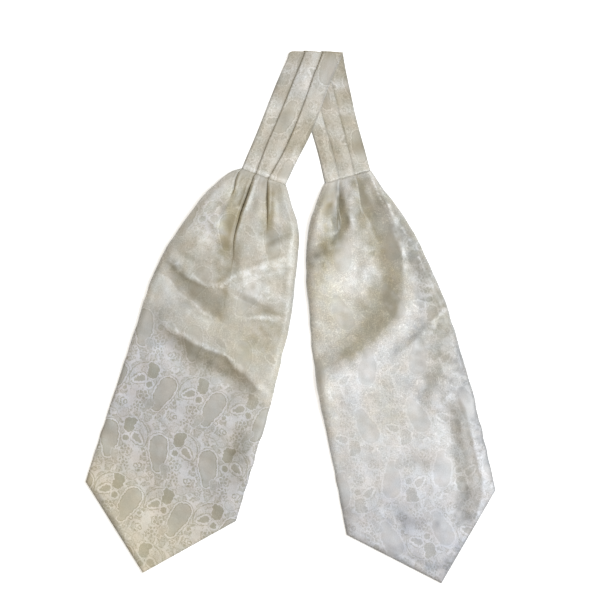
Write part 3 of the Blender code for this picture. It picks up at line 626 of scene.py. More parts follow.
def crease_heights(crease, down, across):
    """Heights of one crease over a whole panel. Both its ends fade out."""
    height, sides, line = crease
    line = np.reshape(line, (-1, 2)).astype(float)
    places = path_places(line)
    fine = np.linspace(0.0, places[-1], 5 * len(line))
    spots = np.stack([smooth_values(places, line[:, axis], fine) for axis in (0, 1)], axis=1)
    best = np.full(down.shape, np.inf)
    side = np.zeros(down.shape)
    along = np.zeros(down.shape)
    for run, (start, end) in enumerate(zip(spots, spots[1:])):
        step = end - start
        length = np.hypot(*step)
        reach_down = down - start[0]
        reach_across = across - start[1]
        t = np.clip((reach_down * step[0] + reach_across * step[1]) / length ** 2, 0.0, 1.0)
        distance = np.hypot(reach_down - t * step[0], reach_across - t * step[1])
        cross = (step[0] * reach_across - step[1] * reach_down) / length
        closer = distance < best
        best = np.where(closer, distance, best)
        side = np.where(closer, cross, side)
        along = np.where(closer, (run + t) / (len(spots) - 1), along)
    ends = places[-1] / min(FADE, places[-1] / 2.5)
    fade = ease(ends * along + 0.05) * ease(ends * (1 - along) + 0.05)
    first, second = (np.exp(-((best / half) ** crisp)) for half, crisp in two_sides(sides))
    return height * fade * np.where(side < 0, first, second)


class Blade:
    """One wide pointed end of the cravat."""

    def __init__(self, seam, lean, names, sections, pleats, creases, tones, strips, tip_line,
                 gathers, seed):
        self.seam = seam
        self.gathers = gathers
        self.down_axis = (math.sin(lean), -math.cos(lean))
        self.across_axis = (math.cos(lean), math.sin(lean))
        self.tables = dict(zip(names, zip(*sections)))
        self.places = self.tables["down"]
        self.pleats = [dict(zip(PLEAT_NAMES, pleat)) for pleat in pleats]
        self.lines = ["left"] + [pleat["name"] for pleat in self.pleats] + ["right"]
        self.creases = creases
        self.tones = tones
        self.laps_left = tip_line == "groove"
        self.strips = strips
        self.seed = seed
        self.corner = self.places[-1]
        left = self.tables["left"][-1]
        width = self.tables["right"][-1] - left
        self.tip_share = (self.tables[tip_line][-1] - left) / width

    def read(self, name, down):
        return smooth_values(self.places, self.tables[name], down)

    def world(self, down, across, height):
        """Places on the blade, given in mm, in the frame of the part."""
        x, y = (self.seam[axis] + self.down_axis[axis] * down + self.across_axis[axis] * across
                for axis in (0, 1))
        return np.stack([x, y, height], axis=-1) * MM

    def row_places(self, count):
        """Places of the rows, closer together at the seam and at the hem."""
        t = np.linspace(0.0, 1.0, count - len(SEAM_ROWS) - len(ROLL_ANGLES))
        body = ROWS_FROM + (self.corner - ROWS_FROM - ROLL) * (0.45 * t + 0.55 * t ** 1.35)
        hem = np.sort(self.corner - ROLL * (1 - np.cos(np.radians(ROLL_ANGLES))))
        return np.concatenate([SEAM_ROWS, body, hem])

    def slant(self, rows, share):
        """Where each row truly lies down the blade, and how far the hem is."""
        side = np.minimum(share / self.tip_share, (1 - share) / (1 - self.tip_share))
        drop = POINT_LENGTH * np.maximum(side, 0.0)
        tilt = self.read("tilt", rows) * (1 - 2 * share)
        bend = ease((rows / self.corner - BEND_FROM) / (1 - BEND_FROM)) ** 1.5
        return rows + tilt + drop * bend, drop * (1 - bend) + self.corner - rows

    def pleat_heights(self, index, rows, crown):
        """Height left and right of a pleat line, and how far it is still folded."""
        pleat = self.pleats[index]
        folded = 1.0 - ease(rows / pleat["opens_at"])
        foot = crown * (1.0 - pleat["depth"] * folded)
        lip = crown * (1.0 + PLEAT_LIP * folded)
        return (foot, lip, folded) if self.laps_left else (lip, foot, folded)

    def dip_width(self, index):
        """How far from a pleat line the cloth beside it bends."""
        return self.pleats[index]["reach"] if 0 <= index < len(self.pleats) else EDGE_ROUND

    def lie(self, rows):
        """Each column of the front: its place across as folded and as true, its
        height before creases, and its strip."""
        crown, left, right = (self.read(name, rows) for name in ("crown", "left", "right"))
        pillow = crown * PILLOW * (1.0 - ease(rows / PILLOWS_END))
        rolls = ROLL * (1 - np.cos(np.radians(ROLL_ANGLES)))
        last = len(self.strips) - 1
        columns = [(left + inside, left + inside, crown, 0) for inside in rolls]
        for strip, count in enumerate(self.strips):
            start, end = (self.read(name, rows) for name in self.lines[strip:strip + 2])
            start = start + (PLEAT_WIDTH / 2 if strip else ROLL)
            end = end - (PLEAT_WIDTH / 2 if strip < last else ROLL)
            low = self.pleat_heights(strip - 1, rows, crown)[1] if strip else crown
            high = self.pleat_heights(strip, rows, crown)[0] if strip < last else crown
            for t in np.linspace(0.0, 1.0, count):
                place = start + (end - start) * t
                near_start = 1.0 - ease((place - start) / self.dip_width(strip - 1))
                near_end = 1.0 - ease((end - place) / self.dip_width(strip))
                height = crown + (low - crown) * near_start + (high - crown) * near_end
                columns.append((place, place, height + pillow * 4 * t * (1 - t), strip))
            if strip == last:
                break
            before, after, folded = self.pleat_heights(strip, rows, crown)
            line = self.read(self.lines[strip + 1], rows)
            reach = OVERHANG * folded * ease(rows / OVERHANG_FROM)
            for s in np.arange(1, PLEAT_COLUMNS_BETWEEN) / PLEAT_COLUMNS_BETWEEN:
                place = line + (s - 0.5) * PLEAT_WIDTH
                columns.append((place + reach * math.sin(2 * math.pi * s), place,
                                before + (after - before) * s, strip + (s >= 0.5)))
        columns += [(right - inside, right - inside, crown, last) for inside in rolls[::-1]]
        *grids, strip_of = zip(*columns)
        return [np.stack(grid, 1) for grid in grids] + [strip_of]

    def spread(self, rows, strip_of):
        """How far each strip's cloth lies from where it would lie unpleated."""
        opens = max(pleat["opens_at"] for pleat in self.pleats) * 1.3
        moves = []
        for names in zip(self.lines, self.lines[1:]):
            middle, open_middle = (sum(self.read(name, at) for name in names) / 2
                                   for at in (rows, opens))
            moves.append((open_middle - middle) * (1 - ease(rows / opens)))
        return np.stack([moves[strip] for strip in strip_of], 1)

    def edge_wave(self, rows, share):
        """How far small waves of the outline move the cloth across."""
        calm = ease(rows / CALM_REACH) * ease((self.corner - rows) / CALM_REACH)
        at_left, at_right = (ripple("edge", rows, side) for side in (-30.0, 30.0))
        return EDGE_WAVE * calm * (at_left + (at_right - at_left) * share)

    def front(self):
        """Middle of the front panel's cloth, each point's place on the flat cloth, and
        its painted shade and highlights."""
        places = self.row_places(ROWS)
        rows = places[:, None]
        across, true_across, heights, strip_of = self.lie(places)
        left, right, crown = (self.read(name, rows) for name in ("left", "right", "crown"))
        share = (true_across - left) / (right - left)
        across = across + self.edge_wave(rows, share)
        down, to_hem = self.slant(rows, share)
        spot = (down, true_across)
        bent_down = down + ripple("bend_down", *spot) + ripple("small_bend", *spot)
        bent = (bent_down, true_across + ripple("bend_across", *spot))

        # Height
        sharp = [crease for crease in self.creases if 0 < crease[0] < BROAD]
        broad = [crease for crease in self.creases if crease not in sharp]
        crests, troughs = (sum(crease_heights(crease, *bent) for crease in creases)
                           for creases in (sharp, broad))
        crests = crests * (SURE_CREST + ripple("crests", *spot))
        body = heights + crests + troughs * (1.0 + ripple("troughs", *spot))
        body += np.clip(crests, 0.0, 1.0) * ripple("puckers", *spot)
        body += ripple("waves", *spot, self.seed) + ripple("small_waves", *spot, self.seed)
        gathers = 1.0 - ease((down - GATHERS_FROM) / GATHERS_REACH)
        body += self.gathers * gathers * ripple("gathers", down, share * GATHERS_WIDTH, self.seed)
        body = LEAST_LIFT + np.logaddexp(0.0, (body - LEAST_LIFT) * LIFT_BEND) / LIFT_BEND
        full = 1.0 + FULL_EDGE * hill(rows, FULL_AT, FULL_REACH)
        inset = np.minimum(EDGE_ROUND * full, (right - left) * EDGE_SHARE)
        inside = np.minimum(np.minimum(true_across - left, right - true_across), to_hem)
        z = FRONT_MIDDLE + body * dome(inside / inset)
        within = ease((to_hem - ALLOWANCE + ALLOWANCE_EDGE / 2) / ALLOWANCE_EDGE)
        z += ALLOWANCE_STEP * (1 - within) * ease(inside / ALLOWANCE_EDGE)
        z -= quarter_drop(inside, ROLL) * ROLL_DROP
        turned_down = quarter_drop(rows, SEAM_ROLL) / SEAM_ROLL
        z -= turned_down * np.clip(z - FRONT_LEAST, 0.0, FRONT_DEPTH)

        # Painted shade and highlights: hollows, slopes that lean from the light, glints on crests,
        # pleats' feet, bands of sheen and shade, and the rims
        sunk = (crown + HOLLOW_FROM - body) / HOLLOW_DEPTH
        facing = sheet_normals(self.world(down, true_across, body))
        lean = (LEAN_DOWN * np.abs(facing[..., 1]) - facing[..., 0]) * ease(down / LEAN_FROM)
        hollow = HOLLOW_SHADE * np.clip(sunk, *HOLLOW_RANGE)
        hollow += LEAN_SHADE * np.clip(lean, *LEAN_RANGE)
        glint = np.clip(crests / GLINT_HEIGHT, 0.0, 1.2) * (0.6 + ripple("glints", *spot))
        hollow -= GLINT * np.clip(glint - GLINT_FROM, 0.0, 1.0)
        for pleat in self.pleats:
            past = (true_across - self.read(pleat["name"], rows)) * (-1 if self.laps_left else 1)
            folded = 1.0 - ease(rows / (1.25 * pleat["opens_at"]))
            beside = hill(past, 0.0, 1.3 * pleat["reach"]) * (past > -0.4)
            hollow += pleat["shade"] * folded ** 0.5 * beside
        amounts = dict.fromkeys(self.tones, 0.0)
        for kind, tones in self.tones.items():
            for tone in tones:
                thin = two_sides(tone[1])[0][0] < THIN
                cell, base, swing = THIN_TONE_NOISE if thin else BROAD_TONE_NOISE
                uneven = base + swing * soft_noise(*spot, cell, cell, TONE_NOISE_SEED)
                amounts[kind] += uneven * crease_heights(tone, *bent)
        hollow = (hollow - amounts["sheen"]) * ease(inside / HOLLOW_INSIDE)
        grey_shade = amounts["grey_shade"] + RIM_SHADE * (1.0 - ease(inside / RIM_REACH))
        cloth = np.stack([true_across + self.spread(places, strip_of), down], axis=-1)
        shade = np.stack([hollow, -amounts["tan"], grey_shade], axis=-1)
        return self.world(down, across, z), cloth, shade

    def back(self):
        """Middle of the back panel's cloth. It lies flat, in the same outline."""
        rows = self.row_places(BACK_ROWS)[:, None]
        left = self.read("left", rows) + BACK_INSET
        width = self.read("right", rows) - BACK_INSET - left
        t = np.linspace(0.0, 1.0, BACK_COLUMNS)
        shares = np.unique(np.concatenate([t, BACK_EDGE_COLUMNS, [self.tip_share]]))
        across = left + width * shares + self.edge_wave(rows, shares)
        down, to_hem = self.slant(rows, shares[None, :])
        inside = np.minimum(np.minimum(shares, 1.0 - shares) * width, to_hem)
        z = BACK_MIDDLE + quarter_drop(inside, ROLL) * BACK_RISE
        return self.world(down, across, z), np.stack([across + BACK_SHIFT, down], axis=-1)


LEFT_BLADE = Blade(
    (-28.4, 149.2), math.radians(-17.6), LEFT_COLUMNS, LEFT_SECTIONS, LEFT_PLEATS,
    LEFT_CREASES, LEFT_TONES, LEFT_STRIPS, "groove", 0.8, 11,
)
RIGHT_BLADE = Blade(
    (60.8, 148.8), math.radians(12.3), RIGHT_COLUMNS, RIGHT_SECTIONS, RIGHT_PLEATS,
    RIGHT_CREASES, RIGHT_TONES, RIGHT_STRIPS, "pocket", 0.45, 23,
)


def seam_section(blade, lines):
    """The end of the neckband at a blade, in mm."""
    tilt = blade.tables["tilt"][0]
    left = blade.world(tilt - SEAM_GAP, blade.tables["left"][0] + SEAM_INSET, 0.0) / MM
    right = blade.world(-tilt - SEAM_GAP, blade.tables["right"][0] - SEAM_INSET, 0.0) / MM
    return (left[0], left[1], right[0], right[1]) + lines


def band_profile(width, lips, upper):
    """Places and layers of the pleated cloth across the neckband."""
    low, middle, high = LAYERS
    bulge = LAYER_STEP / 2
    flat = low if upper else high
    lips = [lip if upper else lip - PLEAT_DEPTH for lip in lips]
    profile = [(0.0, flat), (lips[0] * 0.5, low if upper else (low + high) / 2)]
    for lip in lips:
        turn = lip + PLEAT_DEPTH
        profile += [
            (lip - PLEAT_SLOPE, low), (turn, low), (turn + bulge, (low + middle) / 2),
            (turn, middle), (lip, middle), (lip - bulge, (middle + high) / 2), (lip, high),
            (turn + PLEAT_SLOPE, high),
        ]
    profile += [((turn + width) / 2, (low + high) / 2 if upper else high), (width, flat)]
    return np.array(profile)


def fine_profile(profile):
    """The profile as a smooth path: places, layers and length along the cloth."""
    places = path_places(profile)
    fine = [0.0, *BAND_EDGE_PLACES, *(places[-1] - np.array(BAND_EDGE_PLACES))]
    for start, end, count in zip(places, places[1:], BAND_SPAN_STEPS):
        fine.extend(start + (end - start) * np.arange(1, count + 1) / count)
    fine = np.sort(np.array(fine))
    layer = np.clip(smooth_values(places, profile[:, 1], fine), LAYERS[0], LAYERS[2])
    return smooth_values(places, profile[:, 0], fine), layer, fine


def lap_lift(x, y, lower):
    """How high the upper stretch lies where it crosses the lower one."""
    edge = smooth_values([-row[1] for row in lower], [row[0] for row in lower], -y)
    over = ease((x - edge + LAP_OUT) / (LAP_OUT + LAP_IN))
    turning = ease((y - TURN_FROM) / TURN_REACH)
    crossing = (BAND_HEIGHT + STACK_GAP) * over * ease((y - CROSS_FROM) / CROSS_REACH)
    return crossing + (BAND_HEIGHT + 2 * FOLD_INNER - crossing) * turning


def band():
    """Middle of the neckband's cloth, from the left seam to the right one, each
    point's place on the flat cloth, its painted shade and highlights, and its painted grey shade."""
    upper = (seam_section(LEFT_BLADE, SEAM_LINES_LEFT),) + UPPER_SECTIONS + (FOLD_SECTION,)
    lower = (FOLD_SECTION,) + LOWER_SECTIONS + (seam_section(RIGHT_BLADE, SEAM_LINES_RIGHT),)
    stations = [("upper", step / BAND_UPPER_STEPS) for step in range(BAND_UPPER_STEPS)]
    stations += [("fold", step / BAND_FOLD_STEPS) for step in range(BAND_FOLD_STEPS + 1)]
    stations += [("lower", step / BAND_LOWER_STEPS) for step in range(1, BAND_LOWER_STEPS + 1)]
    points, cloth, hollows, grey_shades = [], [], [], []
    run = 0.0
    last_middle = None
    for part, share in stations:
        if part == "fold":
            row = FOLD_SECTION
            turned = TURNED_AT_FOLD * share
            near_fold = 1.0
        else:
            rows = upper if part == "upper" else lower
            at = share * (len(rows) - 1)
            row = [float(smooth_values(range(len(rows)), values, at)) for values in zip(*rows)]
            turned = 0.0
            if part == "lower":
                turned = TURNED_AT_FOLD + (1 - TURNED_AT_FOLD) * ease(share / TURNED_BY)
            from_fold = 1.0 - share if part == "upper" else share
            near_fold = ease((CORNER_REACH - from_fold) / CORNER_REACH)
        start = np.array(row[0:2])
        end = np.array(row[2:4])
        width = float(np.hypot(*(end - start)))
        lips = (width * row[4], width * row[5])
        outer, inner = (fine_profile(band_profile(width, lips, out)) for out in (True, False))
        along, layer, path = (o + (i - o) * turned for o, i in zip(outer, inner))
        x, y = (start[axis] + (end[axis] - start[axis]) * along / width for axis in (0, 1))
        y = y - quarter_drop(np.maximum(along, 0.0), FOLD_CORNER) * CORNER_FULLNESS * near_fold
        seam_away = np.inf
        if part == "fold":
            radius = FOLD_INNER + layer
            y = y + radius * math.sin(math.pi * share)
            z = BAND_HEIGHT + FOLD_INNER + radius * math.cos(math.pi * share)
        else:
            z = lap_lift(x, y, lower) + layer if part == "upper" else BAND_HEIGHT - layer
            seam_row = rows[0] if part == "upper" else rows[-1]
            seam_away = math.hypot(row[0] - seam_row[0], row[1] - seam_row[1])
            inside = np.clip(np.minimum(along, width - along) / (SWELL_EDGE * width), 0.0, 1.0)
            z = z + SWELL * (1 - ease(seam_away / SWELL_REACH)) * dome(inside)
            z = z - quarter_drop(seam_away, SEAM_ROLL) * SEAM_DEPTH / SEAM_ROLL
            z = z + BEAD * hill(seam_away, *BEAD_PLACE) * np.sqrt(inside)
            calm = ease(seam_away / WAVE_FROM) * (1 - near_fold)
            wave = ripple("band_waves", y, x, 0 if part == "upper" else 1)
            z = z + WAVE * calm * (0.5 + 0.5 * wave)
        middle = (start + end) / 2
        if last_middle is not None:
            run += max(float(np.hypot(*(middle - last_middle))), LEAST_STEP)
        last_middle = middle
        z = np.maximum(z, BAND_SHELL / 2)
        points.append(np.stack([x, y, z], axis=-1) * MM)
        cloth.append(np.stack([path, np.full_like(path, run)], axis=-1))

        # Painted shade and sheen by strip, painted shade beside the pleats' feet, and a painted
        # glint on the rolled end at the left blade
        tones = np.array(UPPER_TONES if part == "upper" else LOWER_TONES)
        first, *others = (np.interp(y, tones[:, 0], tones[:, strip]) for strip in (1, 2, 3))
        for lip, strip in zip(lips, others):
            first = first + (strip - first) * ease((along - lip + 1.0) / 2.0)
        over = [lip - along if part == "upper" else along - lip for lip in lips]
        foot = sum(hill(away, 0.0, FOOT_REACH) * (away > -1.0) for away in over)
        bead = hill(seam_away, *SEAM_GLINT_PLACE) if part == "upper" else 0.0
        hollows.append(first + FOOT_SHADE * foot - SEAM_GLINT * bead)
        # Painted grey shade at the edges, along the pleats' feet, and at the left edge by the
        # opening
        rim = RIM_SHADE * (1.0 - ease(np.minimum(along, width - along) / 3.0))
        rim = rim + FOOT_LINE * sum(hill(away, *FOOT_LINE_PLACE) for away in over)
        under = UNDER_SHADE * (1.0 if part == "lower" else 0.5)
        grey_shades.append(rim + under * (1.0 - ease(along / UNDER_REACH)))
    return [np.array(grid) for grid in (points, cloth, hollows, grey_shades)]


def directions(points, axis):
    """Directions along one way of a grid, the sum of the unit steps on both sides."""
    steps = np.diff(points, axis=axis)
    steps = steps / np.maximum(np.linalg.norm(steps, axis=-1, keepdims=True), 1e-9)
    first, last = (np.take(steps, [end], axis=axis) for end in (0, -1))
    return np.concatenate([first, steps], axis=axis) + np.concatenate([steps, last], axis=axis)


def sheet_normals(points):
    normals = np.cross(directions(points, 0), directions(points, 1))
    return normals / np.maximum(np.linalg.norm(normals, axis=-1, keepdims=True), 1e-9)


def thin_at_edges(points, sewn_ends):
    """The cloth's thickness as a share, rounded off along a sheet's free sides."""
    steps = [np.linalg.norm(np.diff(points, axis=axis), axis=-1) / MM for axis in (0, 1)]
    from_top = np.pad(np.cumsum(steps[0], axis=0), ((1, 0), (0, 0)))
    from_left = np.pad(np.cumsum(steps[1], axis=1), ((0, 0), (1, 0)))
    to_bottom = from_top[-1:, :] - from_top
    to_right = from_left[:, -1:] - from_left
    from_top = from_top + NOSE
    if sewn_ends == 2:
        to_bottom = to_bottom + NOSE
    inside = np.minimum(np.minimum(from_left, to_right), np.minimum(from_top, to_bottom))
    return 0.35 + 0.65 * dome(inside / NOSE)


def cloth_shell(node, points, cloth, lustre, shade, silk, sewn_ends=1,
                wall=SHELL):
    """A closed thin shell of cloth round a grid of points, in place of a solid."""
    rows, columns = points.shape[:2]
    normals = sheet_normals(points)
    half = (thin_at_edges(points, sewn_ends) * wall * MM / 2)[..., None]
    verts = np.concatenate([(points + normals * half).reshape(-1, 3),
                            (points - normals * half).reshape(-1, 3)])
    index = np.arange(rows * columns).reshape(rows, columns)
    low = rows * columns
    a, b, c, d = index[:-1, :-1], index[1:, :-1], index[1:, 1:], index[:-1, 1:]
    top = np.stack([a, b, c, d], axis=-1).reshape(-1, 4)
    bottom = np.stack([d, c, b, a], axis=-1).reshape(-1, 4) + low
    border = np.concatenate([index[0, :-1], index[:-1, -1], index[-1, :0:-1], index[:0:-1, 0]])
    following = np.roll(border, -1)
    sides = np.stack([border, following, following + low, border + low], axis=-1)
    mesh = bpy.data.meshes.new(node + "_silk")
    mesh.from_pydata(verts.tolist(), [], np.concatenate([top, bottom, sides]).tolist())
    mesh.update()
    lustre = np.broadcast_to(lustre, (rows, columns))[..., None]
    for name, values in (("cloth", np.concatenate([cloth, lustre], axis=-1)),
                         ("shade", np.broadcast_to(shade, (rows, columns, 3)))):
        values = np.concatenate([values.reshape(-1, 3)] * 2).ravel()
        mesh.attributes.new(name, "FLOAT_VECTOR", "POINT").data.foreach_set("vector", values)
    mesh.shade_smooth()
    piece = bpy.data.objects.new(node + "_silk", mesh)
    bpy.context.scene.collection.objects.link(piece)
    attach(piece, "root")
    piece.data.materials.append(silk)
    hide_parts(node)
    return piece


class Nodes:
    """Short ways to add nodes to one tree."""

    def __init__(self, tree):
        self.tree = tree

    def feed(self, socket, value):
        if isinstance(value, bpy.types.NodeSocket):
            self.tree.links.new(value, socket)
        else:
            socket.default_value = value

    def add(self, kind, inputs, output=0, **settings):
        """An output of a new node with the given inputs and settings."""
        node = self.tree.nodes.new("ShaderNode" + kind)
        for name, value in settings.items():
            setattr(node, name, value)
        for name, value in inputs.items():
            self.feed(node.inputs[name], value)
        return node.outputs[output]

    def math(self, operation, *values, clamp=False):
        return self.add("Math", dict(enumerate(values)), operation=operation, use_clamp=clamp)

    plus = partialmethod(math, "ADD")
    minus = partialmethod(math, "SUBTRACT")
    times = partialmethod(math, "MULTIPLY")
    scaled = partialmethod(math, "MULTIPLY_ADD")
    most = partialmethod(math, "MAXIMUM")

    def vector(self, operation, *values, output=0):
        return self.add("VectorMath", dict(enumerate(values)), output, operation=operation)

    def spot(self, x, y):
        return self.add("CombineXYZ", {0: x, 1: y})

    def parts(self, vector):
        return self.add("SeparateXYZ", {0: vector}).node.outputs

    def attribute(self, name):
        return self.parts(self.add("Attribute", {}, "Vector", attribute_name=name))

    def distance(self, point, x=0.0, y=0.0):
        return self.vector("DISTANCE", point, (x, y, 0.0), output=1)

    def mix(self, factor, first, second, **settings):
        inputs = {0: factor, 6: first, 7: second}
        return self.add("Mix", inputs, 2, data_type="RGBA", **settings)

    def tint(self, color, by):
        return self.mix(1.0, color, by + (1.0,), blend_type="MULTIPLY")

    def noise(self, vector, scale, detail, distortion=0.0, output="Fac"):
        inputs = {"Vector": vector, "Scale": scale, "Detail": detail, "Distortion": distortion}
        return self.add("TexNoise", inputs, output)


class Damask:
    """The paisley repeat, drawn from discs, rings and petals round each motif.

    Its ground is 0 on the bright satin and 1 on the matte weave. Its threads
    are the thin lines that are painted white, as sheen.
    """

    def __init__(self, nodes, across, down, solid, outline):
        self.nodes = n = nodes
        place = n.spot(across, down)
        aside = n.vector("ADD", place, (50.0, 0.0, 0.0))
        across, down = (n.plus(way, n.scaled(n.noise(spot, 0.4, 1.0), WOBBLE, -WOBBLE / 2))
                        for way, spot in ((across, place), (down, aside)))
        rows = n.math("DIVIDE", n.plus(down, ROW_TOP), REPEAT_DOWN)
        odd = n.math("FLOORED_MODULO", n.math("FLOOR", rows), 2.0)
        self.down = n.minus(n.times(n.math("FRACT", rows), REPEAT_DOWN), ROW_TOP)
        shifted = n.minus(across, n.scaled(odd, ODD_SHIFT, ROW_SHIFT))
        self.across = n.times(shifted, n.scaled(odd, -2.0, 1.0))
        self.middle = self.at(0, 0)
        self.draw(solid, outline)

    def at(self, x, y):
        """The place measured from the middle of a motif, in the nearest repeat."""
        half = REPEAT_ACROSS / 2
        across = self.nodes.math("WRAP", self.nodes.minus(self.across, x), half, -half)
        return self.nodes.spot(across, self.nodes.minus(self.down, y))

    def inside(self, distance):
        return self.nodes.scaled(distance, -1.0 / SOFT, 0.5, clamp=True)

    def contour(self, distance, at, half_width):
        """A line that follows a shape at some distance from its outline."""
        away = self.nodes.math("ABSOLUTE", self.nodes.minus(distance, at))
        return self.inside(self.nodes.minus(away, half_width))

    def disc(self, x, y, radius):
        return self.nodes.minus(self.nodes.distance(self.at(x, y)), radius)

    def boteh(self, name):
        """Distance to a bent drop, blended from discs along its spine."""
        n = self.nodes
        x, y, blend, discs = BOTEHS[name]
        point = self.at(x, y)
        result = None
        for disc_x, disc_y, radius in discs:
            disc = n.minus(n.distance(point, disc_x, disc_y), radius)
            result = disc if result is None else n.math("SMOOTH_MIN", result, disc, blend)
        return result

    def flower(self, x, y, petals, reach, petal, turn):
        """Distance to a ring of round petals."""
        n = self.nodes
        point = self.at(x, y)
        x, y = n.parts(point)[:2]
        step = math.pi / petals
        folded = n.math("WRAP", n.plus(n.math("ARCTAN2", y, x), turn), step, -step)
        length = n.vector("LENGTH", point, output=1)
        x, y = (n.times(length, n.math(way, folded)) for way in ("COSINE", "SINE"))
        return n.minus(n.distance(n.spot(x, y), reach), petal)

    def horn(self):
        """Distance to a part of a crescent, which sweeps round a drop."""
        n = self.nodes
        outer, (inner_x, inner_y, inner), corner = HORN
        hollow = n.minus(inner, n.distance(self.at(inner_x, inner_y)))
        return n.most(n.most(self.disc(*outer), hollow), n.most(*n.parts(self.at(*corner))[:2]))

    def scrolls(self, scale, turns):
        """Wavy lines that fill the ground like filigree."""
        n = self.nodes
        hills = n.noise(self.middle, scale, 0.0, 0.4)
        wave = n.math("ABSOLUTE", n.math("SINE", n.times(hills, turns)))
        return n.scaled(wave, -1.9, 1.15, clamp=True)

    def leaves(self):
        """The leaves, with veins, that fill the ground."""
        n = self.nodes
        sway = n.noise(self.middle, 0.12, 2.0, output="Color")
        bent = n.vector("MULTIPLY_ADD", sway, (9.0, 9.0, 0.0), self.middle)
        edge = n.times(n.add("TexVoronoi", {"Vector": bent, "Scale": 1.0 / FILLER}, "Distance",
                             voronoi_dimensions="2D", feature="DISTANCE_TO_EDGE"), FILLER)
        leaf = n.times(n.scaled(self.scrolls(0.085, 30.0), 0.60, 0.40),
                       n.scaled(edge, 1.0, -0.9, clamp=True))
        return n.most(leaf, n.times(self.contour(edge, 2.6, 0.35), 0.9))

    def stamp(self, distance, value, halo):
        """Lays a shape of one tone on the ground, with a rim of clear satin round it."""
        n = self.nodes
        rim = self.inside(n.minus(distance, halo))
        clear = n.times(self.ground, n.minus(1.0, rim))
        self.ground = n.scaled(self.inside(distance), value, clear)

    def trace(self, distance, *contours, layer="ground"):
        """Draws lines round a shape, each at a distance with a half width and a strength."""
        n = self.nodes
        for at, half_width, value in contours:
            line = n.times(self.contour(distance, at, half_width), value)
            setattr(self, layer, n.most(getattr(self, layer), line))

    def draw(self, solid, outline):
        n = self.nodes
        fine = self.scrolls(0.16, 30.0)
        comma, small, drop, large = map(self.boteh, ("comma", "small", "drop", "large"))
        horn = self.horn()
        self.ground = self.leaves()
        self.stamp(self.boteh("opening"), 0.04, 0.5)
        for flower in FLOWERS:
            self.stamp(self.flower(*flower), 0.85, 0.9)
            self.trace(n.distance(self.at(*flower[:2])), (1.1, 0.4, 0.9))
        self.stamp(comma, n.scaled(fine, 0.6, 0.15), 1.2)
        self.trace(comma, (0.0, 0.5, 0.75))
        self.stamp(horn, n.scaled(fine, 0.5, 0.1), 1.3)
        self.stamp(self.flower(*BEADS), 0.7, 0.0)
        self.trace(horn, (0.0, 0.65, 0.95), (2.2, 0.4, 0.6))
        self.stamp(small, 1.0, 1.0)
        self.stamp(drop, 0.85, 2.1)
        self.trace(drop, (2.5, 0.4, 0.9))
        self.stamp(self.disc(*OVAL), 0.95, 1.8)
        for x, y, radius in RINGS:
            ring = n.distance(self.at(x, y))
            self.stamp(n.minus(ring, radius + 0.6), 0.0, 0.8)
            self.trace(ring, (radius, 0.6, 0.9))
        self.stamp(large, solid, 1.7)
        self.trace(large, (-0.5, 0.45, 1.25 * outline), (2.1, 0.4, outline))
        self.stamp(self.boteh("tail"), n.scaled(fine, 0.35, 0.5), 0.6)

        clear = 0.35 + 0.65 * outline
        filigree = n.most(self.scrolls(0.13, 26.0), n.times(self.scrolls(0.26, 20.0), 0.8))
        self.threads = n.times(filigree, n.minus(1.0, self.inside(large)))
        for shape, *contours in (
            (large, (0.3, 0.4, outline), (-2.6, 0.3, 0.5 * outline)),
            (horn, (0.0, 0.6, clear), (2.2, 0.4, 0.8 * clear)),
            (small, (0.6, 0.5, 0.9 * clear)),
            (drop, (1.0, 0.8, clear)),
            (comma, (0.0, 0.5, 0.9 * clear)),
        ):
            self.trace(shape, *contours, layer="threads")
        self.threads = n.most(self.threads, n.times(fine, self.inside(comma)))
        broken = n.scaled(n.noise(self.middle, 0.7, 1.0), 3.4, -1.1, clamp=True)
        self.threads = n.times(self.threads, broken)


